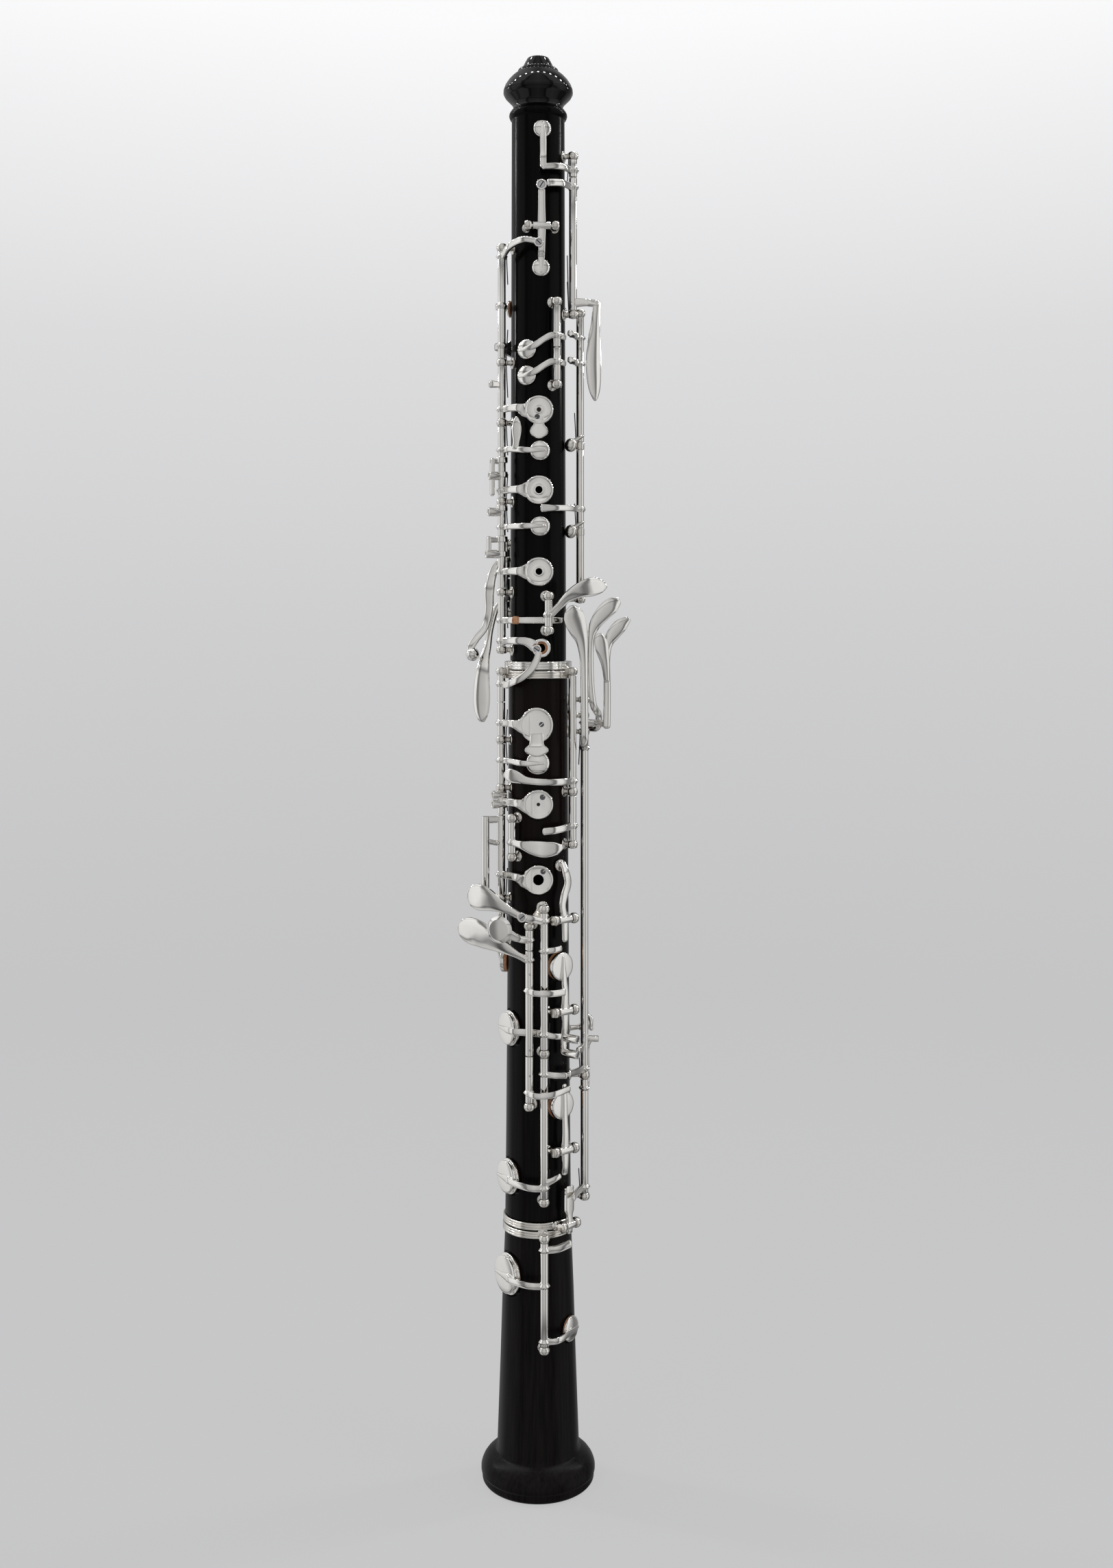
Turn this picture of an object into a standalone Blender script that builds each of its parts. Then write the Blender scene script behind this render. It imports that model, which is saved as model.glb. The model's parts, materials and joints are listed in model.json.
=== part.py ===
"""A full-system oboe: three turned wooden joints with tenons, tenon rings, pivot rods on posts, and the keys.

Lengths in the tables below are millimetres. Z runs up the bore from the bell's rim, the key cups face -Y,
and an angle of 0 is the front of the instrument, growing towards +X.
"""

import math

import bmesh
import bpy
from mathutils import Matrix, Vector

MM = 0.001

# ---- driving dimensions ----
TOTAL_Z = 595.0  # top of the reed socket
JOINT_Z = 338.5  # where the upper and lower joints meet
BELL_Z = 107.9  # where the lower joint and the bell meet
SPLIT = 0.15  # half the gap between two joints' faces
FIT = 0.3  # gap kept between pieces that touch
TUBE_R = 1.65  # hinge tube
BORE_R = 1.05  # its bore
ROD_R = 0.75  # steel rod in it
BALL_R = 2.05  # ball of a post
BALL_FLAT = 1.5  # half the ball's length between its flats
GAP = 0.25  # between a tube's end and a post's flat
TENON_DEPTH = 19.0
WOOD_SIDES = 18
CUP_SIDES = 12

# Rod axes as (x, y), named for what they carry.
STACK_U = (-15.1, -5.8)
OCTAVE_U = (14.6, -5.0)
SIDE_U = (17.6, 0.0)
TRILL_U = (7.8, -12.8)
GSHARP_U = (4.4, -15.0)
REAR_U = (-13.5, 9.0)
STACK_L = (-15.3, -6.0)
FORK_L = (14.3, -8.0)
LEAF_L = (-10.6, -12.0)
LONG_L = (19.4, -2.0)
BEHIND_L = (19.4, 6.5)
RIGHT_L = (2.6, -17.2)
LEFT_L = (-3.4, -17.2)
BELL_ROD = (2.7, -18.4)

# Outer outline of each wooden joint, as (radius, z) from the bottom up.
UPPER_OUTLINE = [
    (11.0, JOINT_Z + SPLIT), (11.0, 342.4), (11.7, 342.4), (11.7, 360.0), (11.4, 450.0), (11.1, 568.8),
    (11.7, 569.2), (12.2, 570.4), (12.1, 571.4), (11.4, 572.6), (10.6, 573.3), (10.4, 574.4), (10.9, 575.6),
    (12.3, 577.1), (13.8, 578.6), (14.6, 580.1), (14.5, 581.6), (13.8, 583.5), (12.5, 585.5), (10.8, 587.3),
    (9.3, 588.5), (8.5, 589.0), (8.5, 589.9), (7.7, 590.5), (6.5, 590.8), (6.1, 592.0), (5.4, 593.4), (4.5, TOTAL_Z),
]
LOWER_OUTLINE = [
    (12.9, BELL_Z + SPLIT), (12.9, 111.4), (13.8, 111.4), (13.4, 150.0), (13.0, 200.0), (12.7, 250.0),
    (12.5, 300.0), (12.4, 334.8), (11.3, 334.8), (11.3, JOINT_Z - SPLIT),
]
BELL_OUTLINE = [
    (22.7, 0.0), (23.3, 0.8), (23.4, 2.2), (23.4, 3.4), (23.8, 3.9), (23.8, 5.6), (23.5, 7.0), (22.9, 8.7),
    (21.8, 10.4), (20.3, 11.9), (18.6, 13.0), (17.5, 13.9), (17.0, 16.6), (15.8, 51.0), (14.9, 80.0), (13.9, 104.4),
    (12.6, 104.4), (12.6, BELL_Z - SPLIT),
]
# Bore of each joint, as (radius, z) from the bottom up.
UPPER_BORE = [(4.3, JOINT_Z - TENON_DEPTH), (2.3, 576.0), (3.45, 576.0), (3.45, TOTAL_Z)]
LOWER_BORE = [(7.7, BELL_Z - TENON_DEPTH), (4.6, 318.6), (9.0, 318.6), (9.0, JOINT_Z - SPLIT)]
BELL_BORE = [
    (18.7, 0.0), (17.6, 6.0), (13.4, 36.0), (10.0, 66.0), (8.2, 86.0), (10.9, 86.0), (10.9, BELL_Z - SPLIT),
]

# Tone holes: name -> (angle, z, cup radius, hole radius, how far the cup stands open).
TONE_HOLES = {
    "top_trill": (9, 562.2, 3.7, 1.2, 0.0),
    "rocker": (6, 504.8, 3.7, 1.0, 0.0),
    "back_octave": (-104, 490.4, 3.6, 0.9, 0.0),
    "d_trill": (-22, 471.2, 4.1, 1.9, 0.0),
    "c_sharp_trill": (-22, 460.4, 4.1, 1.9, 0.0),
    "half_hole": (2, 446.0, 6.0, 1.6, 0.7),
    "c_vent": (4, 429.2, 4.1, 2.2, 0.7),
    "a_key": (2, 413.0, 6.0, 2.4, 0.7),
    "b_flat": (4, 398.0, 4.1, 2.3, 0.7),
    "g_key": (2, 379.3, 6.0, 2.5, 0.7),
    "low_g": (6, 347.8, 3.9, 1.9, 0.7),
    "f_sharp": (-2, 316.0, 6.8, 2.8, 0.7),
    "f_vent": (0, 300.4, 4.8, 2.6, 0.7),
    "e_key": (1, 283.4, 6.1, 2.9, 0.7),
    "d_key": (1, 252.4, 6.1, 3.0, 0.7),
    "side_cup": (-104, 216.0, 5.0, 2.6, 1.0),
    "f_resonance": (43, 257.8, 2.6, 1.3, 0.0),
    "low_c": (-59, 189.8, 7.3, 3.6, 1.4),
    "e_flat": (41, 216.2, 5.8, 3.2, 1.4),
    "c_sharp": (41, 159.0, 5.8, 3.4, 1.4),
    "low_b": (-58, 128.4, 7.3, 3.9, 1.4),
    "low_b_flat": (-56, 88.2, 8.5, 4.3, 1.4),
    "bell_vent": (57, 65.6, 5.2, 2.2, 0.6),
}

BLACKWOOD = ("blackwood", (0.012, 0.010, 0.011), 0.32, 0.0)
SILVER = ("silver_plate", (0.86, 0.85, 0.82), 0.16, 1.0)
STEEL = ("steel_rod", (0.72, 0.70, 0.66), 0.24, 1.0)


# ---- small helpers ----
def place(x, y, z):
    return Vector((x, y, z)) * MM


def polar(angle, radius):
    """The x and y at an angle from the front and a distance from the bore's axis."""
    a = math.radians(angle)
    return radius * math.sin(a), -radius * math.cos(a)


def outward(x, y):
    return Vector((x, y, 0)).normalized()


def surface(z):
    """The wood's outer radius at a height."""
    outline = BELL_OUTLINE[:-2] if z < BELL_Z else LOWER_OUTLINE[2:-2] if z < JOINT_Z else UPPER_OUTLINE[2:]
    for (r0, z0), (r1, z1) in zip(outline, outline[1:]):
        if z0 <= z <= z1 and z1 > z0:
            return r0 + (r1 - r0) * (z - z0) / (z1 - z0)
    return outline[0][0] if z < outline[0][1] else outline[-1][0]


def seat_level(z, cup_radius):
    """Distance from the bore's axis to the flat seat that is sunk into the wood under a cup."""
    wood = surface(z)
    return math.sqrt(wood**2 - (0.75 * min(cup_radius, wood * 0.7)) ** 2)


def material(spec):
    name, colour, roughness, metallic = spec
    made = bpy.data.materials.get(name)
    if made is None:
        made = bpy.data.materials.new(name)
        made.use_nodes = True
        shader = made.node_tree.nodes["Principled BSDF"]
        shader.inputs["Base Color"].default_value = (*colour, 1.0)
        shader.inputs["Roughness"].default_value = roughness
        shader.inputs["Metallic"].default_value = metallic
    return made


def object_from(mesh_maker, name="blank"):
    mesh = bpy.data.meshes.new(name)
    bm = bmesh.new()
    mesh_maker(bm)
    bm.to_mesh(mesh)
    bm.free()
    obj = bpy.data.objects.new(name, mesh)
    CUTTERS.objects.link(obj)
    return obj


def baked(obj, name):
    """A new plain mesh object of what obj evaluates to."""
    bpy.context.view_layer.update()
    graph = bpy.context.evaluated_depsgraph_get()
    mesh = bpy.data.meshes.new_from_object(obj.evaluated_get(graph))
    mesh.transform(obj.matrix_world)
    mesh.name = name
    bm = bmesh.new()
    bm.from_mesh(mesh)
    bmesh.ops.remove_doubles(bm, verts=bm.verts, dist=0.000001)
    bmesh.ops.recalc_face_normals(bm, faces=bm.faces)
    bm.to_mesh(mesh)
    bm.free()
    made = bpy.data.objects.new(name, mesh)
    CUTTERS.objects.link(made)
    return made


# ---- solids ----
def turned(profile, segments, at=(0, 0, 0), axis=(0, 0, 1)):
    """A profile of (radius, height) turned about the axis through a point. Radii above 0 make a closed loop."""
    obj = object_from(lambda bm: profile_wire(bm, profile))
    screw = obj.modifiers.new("turn", "SCREW")
    screw.steps = segments
    screw.render_steps = segments
    screw.use_merge_vertices = True
    screw.merge_threshold = 0.00001
    aim = Vector(axis).to_track_quat("Z", "Y").to_matrix().to_4x4()
    obj.matrix_world = Matrix.Translation(place(*at)) @ aim @ Matrix.Rotation(math.pi / segments, 4, "Z")
    made = baked(obj, "turned")
    bpy.data.objects.remove(obj)
    return made


def profile_wire(bm, profile):
    points = [bm.verts.new((r * MM, 0, h * MM)) for r, h in profile]
    for a, b in zip(points, points[1:]):
        bm.edges.new((a, b))
    if profile[0][0] > 0:
        bm.edges.new((points[-1], points[0]))


def cylinder(radius, at, axis, length, segments=10, top_radius=None):
    """A cylinder or cone that starts at a point and runs along an axis."""
    top = radius if top_radius is None else top_radius
    turn = Vector(axis).to_track_quat("Z", "Y").to_matrix().to_4x4()
    shift = Matrix.Translation((0, 0, length * MM / 2))
    return object_from(
        lambda bm: bmesh.ops.create_cone(
            bm, cap_ends=True, segments=segments, radius1=radius * MM, radius2=top * MM, depth=length * MM,
            matrix=Matrix.Translation(place(*at)) @ turn @ shift,
        )
    )


def sweep(points, sizes, facing=None, sides=6):
    """A bar through points, with (half width, half thickness) at each. It is flat to the facing direction, or to the
    bore where none is given."""
    path = [place(*p) for p in points]
    rings = []

    def make(bm):
        for i, point in enumerate(path):
            along = (path[min(i + 1, len(path) - 1)] - path[max(i - 1, 0)]).normalized()
            out = Vector(facing).normalized() if facing else outward(point.x, point.y)
            out = (out - along * out.dot(along)).normalized()
            across = along.cross(out)
            wide, thick = sizes[i]
            turns = [2 * math.pi * (k + 0.5) / sides for k in range(sides)]
            ring = [point + (across * wide * math.cos(t) + out * thick * math.sin(t)) * MM for t in turns]
            rings.append([bm.verts.new(p) for p in ring])
        for low, high in zip(rings, rings[1:]):
            for k in range(sides):
                bm.faces.new((low[k], low[k - 1], high[k - 1], high[k]))
        bm.faces.new(rings[0])
        bm.faces.new(rings[-1][::-1])
        bmesh.ops.recalc_face_normals(bm, faces=bm.faces)

    return object_from(make)


def merge_flat_faces(mesh):
    """Drops the edges and points that lie inside flat faces."""
    bm = bmesh.new()
    bm.from_mesh(mesh)
    bmesh.ops.dissolve_limit(bm, angle_limit=0.012, verts=bm.verts, edges=bm.edges)
    bm.to_mesh(mesh)
    bm.free()


def fuse(name, parts, cuts, spec):
    """One solid made of overlapping parts, less the cutters."""
    base = parts[0]
    for operation, others in (("UNION", parts[1:]), ("DIFFERENCE", cuts)):
        for other in others:
            step = base.modifiers.new(operation, "BOOLEAN")
            step.operation = operation
            step.solver = "EXACT"
            step.object = other
    made = baked(base, name)
    merge_flat_faces(made.data)
    for used in [*parts, *cuts]:
        bpy.data.objects.remove(used)
    made.data.shade_smooth()
    made.data.set_sharp_from_angle(angle=math.radians(40))
    made.data.materials.clear()
    made.data.materials.append(material(spec))
    CUTTERS.objects.unlink(made)
    OBOE.objects.link(made)
    return made


# ---- the wooden joints ----
def tone_hole_cutters(low, high):
    """The hole and the sunk seat of each cup between two heights."""
    cuts = []
    for angle, z, cup_radius, hole_radius, _ in TONE_HOLES.values():
        if not low < z < high:
            continue
        direction = (*polar(angle, 1.0), 0)
        cuts.append(cylinder(hole_radius, (0, 0, z), direction, surface(z) + 4, 6))
        seat = seat_level(z, cup_radius)
        if cup_radius > 4.5:
            cuts.append(cylinder(cup_radius + 1.0, (*polar(angle, seat), z), direction, 8, 8))
    return cuts


def wooden_joint(name, outline, bore, tenon_r=None, low=0.0, high=TOTAL_Z):
    """A joint turned from its outline and bore, with a tenon below."""
    tenon = []
    if tenon_r:
        foot = bore[0][1]
        tenon = [(tenon_r, foot), (tenon_r, outline[0][1])]
    profile = [*reversed([*tenon, *outline]), *bore]
    body = turned(profile, WOOD_SIDES)
    return fuse(name, [body], tone_hole_cutters(low, high), BLACKWOOD)


def ring(inner, outer, low, high):
    """A tenon ring with a rounded outside and a fine groove round it."""
    mid = (low + high) / 2
    profile = [
        (inner, high), (outer - 0.4, high), (outer, mid + 0.3), (outer - 0.3, mid), (outer, mid - 0.3),
        (outer - 0.4, low), (inner, low),
    ]
    return turned(profile, WOOD_SIDES)


# ---- rods and posts ----
def post_parts(axis, z, foot_radius=None):
    """A post: a stem that widens to its foot on the wood, and a ball with two flats that holds the rod."""
    x, y = axis
    out = outward(x, y)
    reach = math.hypot(x, y)
    wood = foot_radius or surface(z) + FIT
    ball = [(0, BALL_FLAT), (1.5, BALL_FLAT), (BALL_R, 0), (1.5, -BALL_FLAT), (0, -BALL_FLAT)]
    stem = cylinder(1.6, (out.x * wood, out.y * wood, z), out, reach - wood - 0.3, 6, 0.85)
    return [turned(ball, 8, (x, y, z)), stem]


def rod_on_posts(axis, heights, foot_radius=None):
    """The steel rod between the first and last post, with all its posts."""
    low, high = min(heights), max(heights)
    parts = [cylinder(ROD_R, (*axis, low - 0.5), (0, 0, 1), high - low + 1.0, 6)]
    for z in heights:
        parts += post_parts(axis, z, (foot_radius or {}).get(z))
    return parts


def strap(axis_a, z_a, axis_b, z_b):
    """A plate on the wood that joins the feet of two posts."""
    ends = []
    for (x, y), z in ((axis_a, z_a), (axis_b, z_b)):
        out = outward(x, y) * (surface(z) + FIT + 0.8)
        ends.append((out.x, out.y, z))
    return sweep(ends, [(1.7, 0.5), (1.7, 0.5)])


def cross_frame(angle, radius):
    """Centre and sideways direction of a pivot that lies across the bore at an angle from the front."""
    a = math.radians(angle)
    return polar(angle, radius), Vector((math.cos(a), math.sin(a), 0))


def cross_posts(angle, radius, z, spread, foot_radius=None):
    """Two posts with a pin between them, for a lever that rocks."""
    (x, y), side = cross_frame(angle, radius)
    out = outward(x, y)
    parts = [cylinder(ROD_R, (x - side.x * spread, y - side.y * spread, z), side, 2 * spread, 6)]
    ball = [(0, 1.4), (1.5, 1.4), (BALL_R, 0), (1.5, -1.4), (0, -1.4)]
    for sign in (-1, 1):
        px, py = x + sign * side.x * spread, y + sign * side.y * spread
        parts.append(turned(ball, 8, (px, py, z), side))
        drop = math.sqrt((foot_radius or surface(z) + FIT + 0.2) ** 2 - spread**2)
        stem = radius - drop
        foot = (px - out.x * stem, py - out.y * stem, z)
        parts.append(cylinder(1.2, foot, out, stem - 0.3, 6, 0.9))
    return parts


# ---- keys ----
class Key:
    """Gathers the parts of one key, then fuses them into one silver-plated solid."""

    def __init__(self, name):
        self.name = name
        self.parts = []
        self.cuts = []
        self.pivot = None

    def tube(self, axis, low, high):
        self.pivot = place(*axis, (low + high) / 2)
        self.parts.append(cylinder(TUBE_R, (*axis, low), (0, 0, 1), high - low, 8))
        self.cuts.append(cylinder(BORE_R, (*axis, low - 1), (0, 0, 1), high - low + 2, 6))
        return self

    def collar(self, axis, z, half=1.3):
        """The ridge round a tube where an arm leaves it."""
        ridge = [(1.3, half), (TUBE_R + 0.85, 0), (1.3, -half)]
        self.parts.append(turned(ridge, 6, (*axis, z)))
        return self

    def boss(self, angle, radius, z, half):
        """The cross tube of a rocking lever."""
        (x, y), side = cross_frame(angle, radius)
        self.pivot = place(x, y, z)
        start = (x - side.x * half, y - side.y * half, z)
        self.parts.append(cylinder(1.75, start, side, 2 * half, 8))
        start = (x - side.x * (half + 1), y - side.y * (half + 1), z)
        self.cuts.append(cylinder(BORE_R, start, side, 2 * half + 2, 6))
        return self

    def bar(self, points, sizes, facing=None):
        self.parts.append(sweep(points, sizes, facing))
        return self

    def cup(self, hole, thickness=1.9, pierced=0.0):
        """A pad cup over its tone hole, with a crowned top."""
        angle, z, radius, _, lift = TONE_HOLES[hole]
        base = seat_level(z, radius) + FIT + lift
        if radius < 4.5:
            base = surface(z) + FIT + lift
        x, y = polar(angle, base)
        crown = [(0, thickness), (radius * 0.88, thickness - 0.2), (radius, 0), (0, 0)]
        sides = CUP_SIDES if radius > 4.5 else CUP_SIDES - 3
        self.parts.append(turned(crown, sides, (x, y, z), outward(x, y)))
        if pierced:
            start = (*polar(angle, base - 2), z)
            self.cuts.append(cylinder(pierced, start, outward(x, y), thickness + 5, 6))
        return self

    def top_of(self, hole, sideways=0.0, up=0.0, rise=0.1, thickness=1.9):
        """A point on a cup's top, moved sideways and up the bore."""
        angle, z, radius, _, lift = TONE_HOLES[hole]
        base = (surface(z) if radius < 4.5 else seat_level(z, radius)) + FIT + lift
        x, y = polar(angle, base + thickness + rise)
        a = math.radians(angle)
        return (x + sideways * math.cos(a), y + sideways * math.sin(a), z + up)

    def done(self):
        """The finished key, with its origin on the axis it turns about."""
        made = fuse(self.name, self.parts, self.cuts, SILVER)
        made.data.transform(Matrix.Translation(-self.pivot))
        made.location = self.pivot


def finger_key(name, hole, axis, low, high, arm_z, pierced=0.0, plate=None):
    """A stack key: its tube, a teardrop arm over the wood, and the finger plate."""
    key = Key(name).tube(axis, low, high).collar(axis, arm_z)
    radius = TONE_HOLES[hole][2]
    x, y = axis
    out = outward(x, y)
    start = (x + out.x * 0.2 + 1.2, y + out.y * 0.2 - 1.2, arm_z)
    shoulder = (*polar(-46, 15.6), arm_z)
    neck = key.top_of(hole, -radius - 2.2, (arm_z - TONE_HOLES[hole][1]) * 0.7, 0.0)
    edge = key.top_of(hole, -radius * 0.75, 0, -0.6)
    middle = key.top_of(hole, -radius * 0.2, 0, -0.6)
    key.bar([start, shoulder, neck, edge, middle], [(1.3, 1.0), (1.1, 0.9), (1.5, 0.8), (3.4, 0.6), (3.9, 0.5)])
    key.cup(hole, 1.9, pierced)
    if plate:
        plate_z, half_width, half_height, raised = plate
        high_end = key.top_of(hole, 0, -radius * 0.55, -0.7)
        points, sizes = [high_end], [(half_width * 0.55, 0.5)]
        for along, share in ((0.95, 0.6), (0.6, 0.84), (0.05, 1.0), (-0.5, 0.86), (-0.9, 0.42)):
            points.append((high_end[0], high_end[1] - 0.1 - raised, plate_z + along * half_height))
            sizes.append((half_width * share, 0.5))
        key.bar(points, sizes)
    return key


def vent_key(name, hole, axis, low, high, arm_z):
    """A small stack key with a slim arm that runs across its cup as a rib."""
    key = Key(name).tube(axis, low, high).collar(axis, arm_z, 1.1)
    radius = TONE_HOLES[hole][2]
    start = (axis[0] + 1.2, axis[1] - 1.2, arm_z)
    shoulder = (*polar(-46, 15.6), arm_z)
    key.bar(
        [start, shoulder, key.top_of(hole, -radius - 1, 0, 0.2), key.top_of(hole, radius * 0.5, 0, 0)],
        [(1.1, 0.9), (1.0, 0.9), (1.0, 0.8), (0.5, 0.5)],
    )
    return key.cup(hole)


def upper_wood():
    wooden_joint("upper_joint", UPPER_OUTLINE, UPPER_BORE, 8.6, JOINT_Z, TOTAL_Z)
    fuse("upper_joint_ring", [ring(11.25, 14.1, JOINT_Z + SPLIT + 0.05, 342.15)], [], SILVER)


def lower_wood():
    wooden_joint("lower_joint", LOWER_OUTLINE, LOWER_BORE, 10.5, BELL_Z, JOINT_Z)


def bell_wood():
    wooden_joint("bell", BELL_OUTLINE, BELL_BORE, None, 0, BELL_Z)


def side_sleeve():
    """The fixed sleeve round the lowest stretch of the side rod."""
    return cylinder(TUBE_R, (*SIDE_U, 368.6), (0, 0, 1), 27.1, 8)


def upper_rods():
    rods = {
        "octave_rod_and_posts": rod_on_posts(OCTAVE_U, (552.7, 486.6)),
        "octave_rocker_posts": cross_posts(6, 15.2, 521.3, 5.7),
        "upper_stack_rod_and_posts": rod_on_posts(STACK_U, (514.3, 466.5, 441.4, 408.7, 370.9, 346.9)),
        "trill_rod_and_posts": rod_on_posts(TRILL_U, (490.7, 456.4)),
        "side_rod_and_posts": [*rod_on_posts(SIDE_U, (488.0, 432.4, 396.3, 368.0)), side_sleeve()],
        "g_sharp_rod_and_posts": rod_on_posts(GSHARP_U, (369.2, 355.0)),
        "rear_rod_and_posts": rod_on_posts(REAR_U, (392.0, 362.0)),
    }
    for name, parts in rods.items():
        fuse(name, parts, [], STEEL)


def lower_rods():
    on_ring = {338.0: 14.25}
    stack = rod_on_posts(STACK_L, (338.0, 309.5, 289.5, 243.6, 226.4), on_ring)
    fork = rod_on_posts(FORK_L, (338.0, 288.1, 266.2), on_ring)
    long_rod = rod_on_posts(LONG_L, (326.0, 312.6, 169.0, 118.3))
    behind = rod_on_posts(BEHIND_L, (319.0, 187.0))
    right = rod_on_posts(RIGHT_L, (241.0, 181.7, 120.8))
    left = rod_on_posts(LEFT_L, (234.0, 160.0))
    bridge = cross_posts(48, 17.4, 109.6, 4.2, 14.3)
    rods = {
        "lower_joint_top_ring_and_rods": [ring(11.55, 14.6, 335.05, JOINT_Z - SPLIT), *stack, *fork],
        "leaf_rod_and_posts": rod_on_posts(LEAF_L, (277.6, 261.5)),
        "left_hand_rods_and_posts": [*long_rod, *behind, strap(LONG_L, 326.0, BEHIND_L, 319.0)],
        "right_hand_rods_and_posts": [*right, *left, strap(RIGHT_L, 241.0, LEFT_L, 234.0)],
        "f_resonance_posts": cross_posts(40, 17.0, 236.0, 5.2),
        "e_flat_cup_posts": cross_posts(40, 17.2, 198.2, 5.2),
        "c_sharp_cup_posts": cross_posts(40, 17.4, 141.0, 5.2),
        "lower_joint_bottom_ring_and_posts": [ring(13.15, 14.6, BELL_Z + SPLIT + 0.05, 111.15), *bridge],
    }
    for name, parts in rods.items():
        fuse(name, parts, [], STEEL)


def octave_keys():
    key = Key("top_trill_key").tube(OCTAVE_U, 543.9, 552.7 - BALL_FLAT - GAP).collar(OCTAVE_U, 546.6)
    corner = (2.2, -15.4, 545.6)
    key.bar([(13.6, -6.2, 546.6), (9.5, -12.6, 546.3), corner], [(1.1, 0.9), (1.1, 0.9), (1.1, 0.8)])
    key.bar(
        [corner, (2.2, -15.3, 551.0), key.top_of("top_trill", 0, -3.8, 0.4), key.top_of("top_trill", 0, 2, 0)],
        [(1.1, 0.8), (1.1, 0.8), (1.1, 0.8), (0.5, 0.5)],
    )
    key.cup("top_trill").done()

    key = Key("side_octave_key").tube(OCTAVE_U, 486.6 + BALL_FLAT + GAP, 543.4).collar(OCTAVE_U, 539.6)
    key.bar(
        [(13.8, -6.3, 539.6), (9.8, -14.6, 539.0), (4.4, -18.0, 538.2)],
        [(1.2, 0.9), (1.2, 0.8), (1.3, 0.8)],
    )
    key.bar(
        [(15.6, -5.2, 491.5), (20.5, -5.4, 491.6), (24.8, -5.4, 491.0)],
        [(1.9, 1.5), (1.4, 1.2), (1.4, 1.0)],
    )
    key.bar(
        [(24.5, -5.4, 491.8), (24.0, -5.6, 484), (23.4, -6.0, 475), (23.1, -6.3, 466), (23.4, -6.2, 457.4),
         (23.7, -6.0, 452.6), (23.8, -5.9, 450.8)],
        [(1.7, 1.0), (1.9, 1.0), (2.9, 1.1), (3.4, 1.1), (2.9, 1.0), (1.7, 0.8), (0.6, 0.4)],
        (0.35, -0.94, 0),
    )
    key.done()


def octave_rocker():
    """The see-saw lever of the second octave: pushed in at its top screw, it lifts the cup at its foot."""
    key = Key("octave_rocker").boss(6, 15.2, 521.3, 3.6)
    (x, y), _ = cross_frame(6, 15.2)
    key.bar(
        [(x, y - 0.3, 538.8), (x, y - 0.2, 530), (x, y, 521.3), (x, y - 0.1, 512), key.top_of("rocker", 0, 3.9, 0.3),
         key.top_of("rocker", 0, -2, 0)],
        [(1.2, 0.8), (1.3, 0.9), (1.7, 1.1), (1.2, 0.9), (1.2, 0.8), (0.5, 0.5)],
    )
    key.parts.append(cylinder(1.9, (x, y - 0.2, 537.6), (0, -1, 0), 2.8, 8))
    key.cup("rocker").done()


def left_upper_keys():
    key = Key("thumb_octave_key").tube(STACK_U, 466.5 + BALL_FLAT + GAP, 514.3 - BALL_FLAT - GAP)
    key.collar(STACK_U, 510.6).collar(STACK_U, 490.0).collar(STACK_U, 473.4)
    key.bar(
        [(-14.6, -7.0, 510.6), (-11.5, -13.2, 513.4), (-6.0, -17.6, 515.0), (-1.2, -19.0, 514.2)],
        [(1.2, 1.0), (1.2, 0.9), (1.1, 0.9), (1.0, 0.8)],
    )
    key.parts.append(cylinder(1.7, (0.4, -18.2, 513.6), (0, -1, 0), 1.5, 8))
    key.bar(
        [(-15.8, -4.8, 490.4), (-17.0, -1.4, 490.5), key.top_of("back_octave", 2.6, 0, 0.3),
         key.top_of("back_octave", -1, 0, 0.1)],
        [(1.2, 0.9), (1.1, 0.9), (1.0, 0.8), (0.6, 0.6)],
    )
    key.bar(
        [(-15.9, -4.7, 473.8), (-17.6, 1.0, 474.0), (-15.6, 8.5, 474.5), (-9.5, 14.2, 475.5), (-2.0, 16.8, 476.5)],
        [(1.2, 0.9), (1.2, 0.9), (1.5, 0.9), (4.2, 1.0), (1.2, 0.7)],
    )
    key.cup("back_octave").done()


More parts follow.
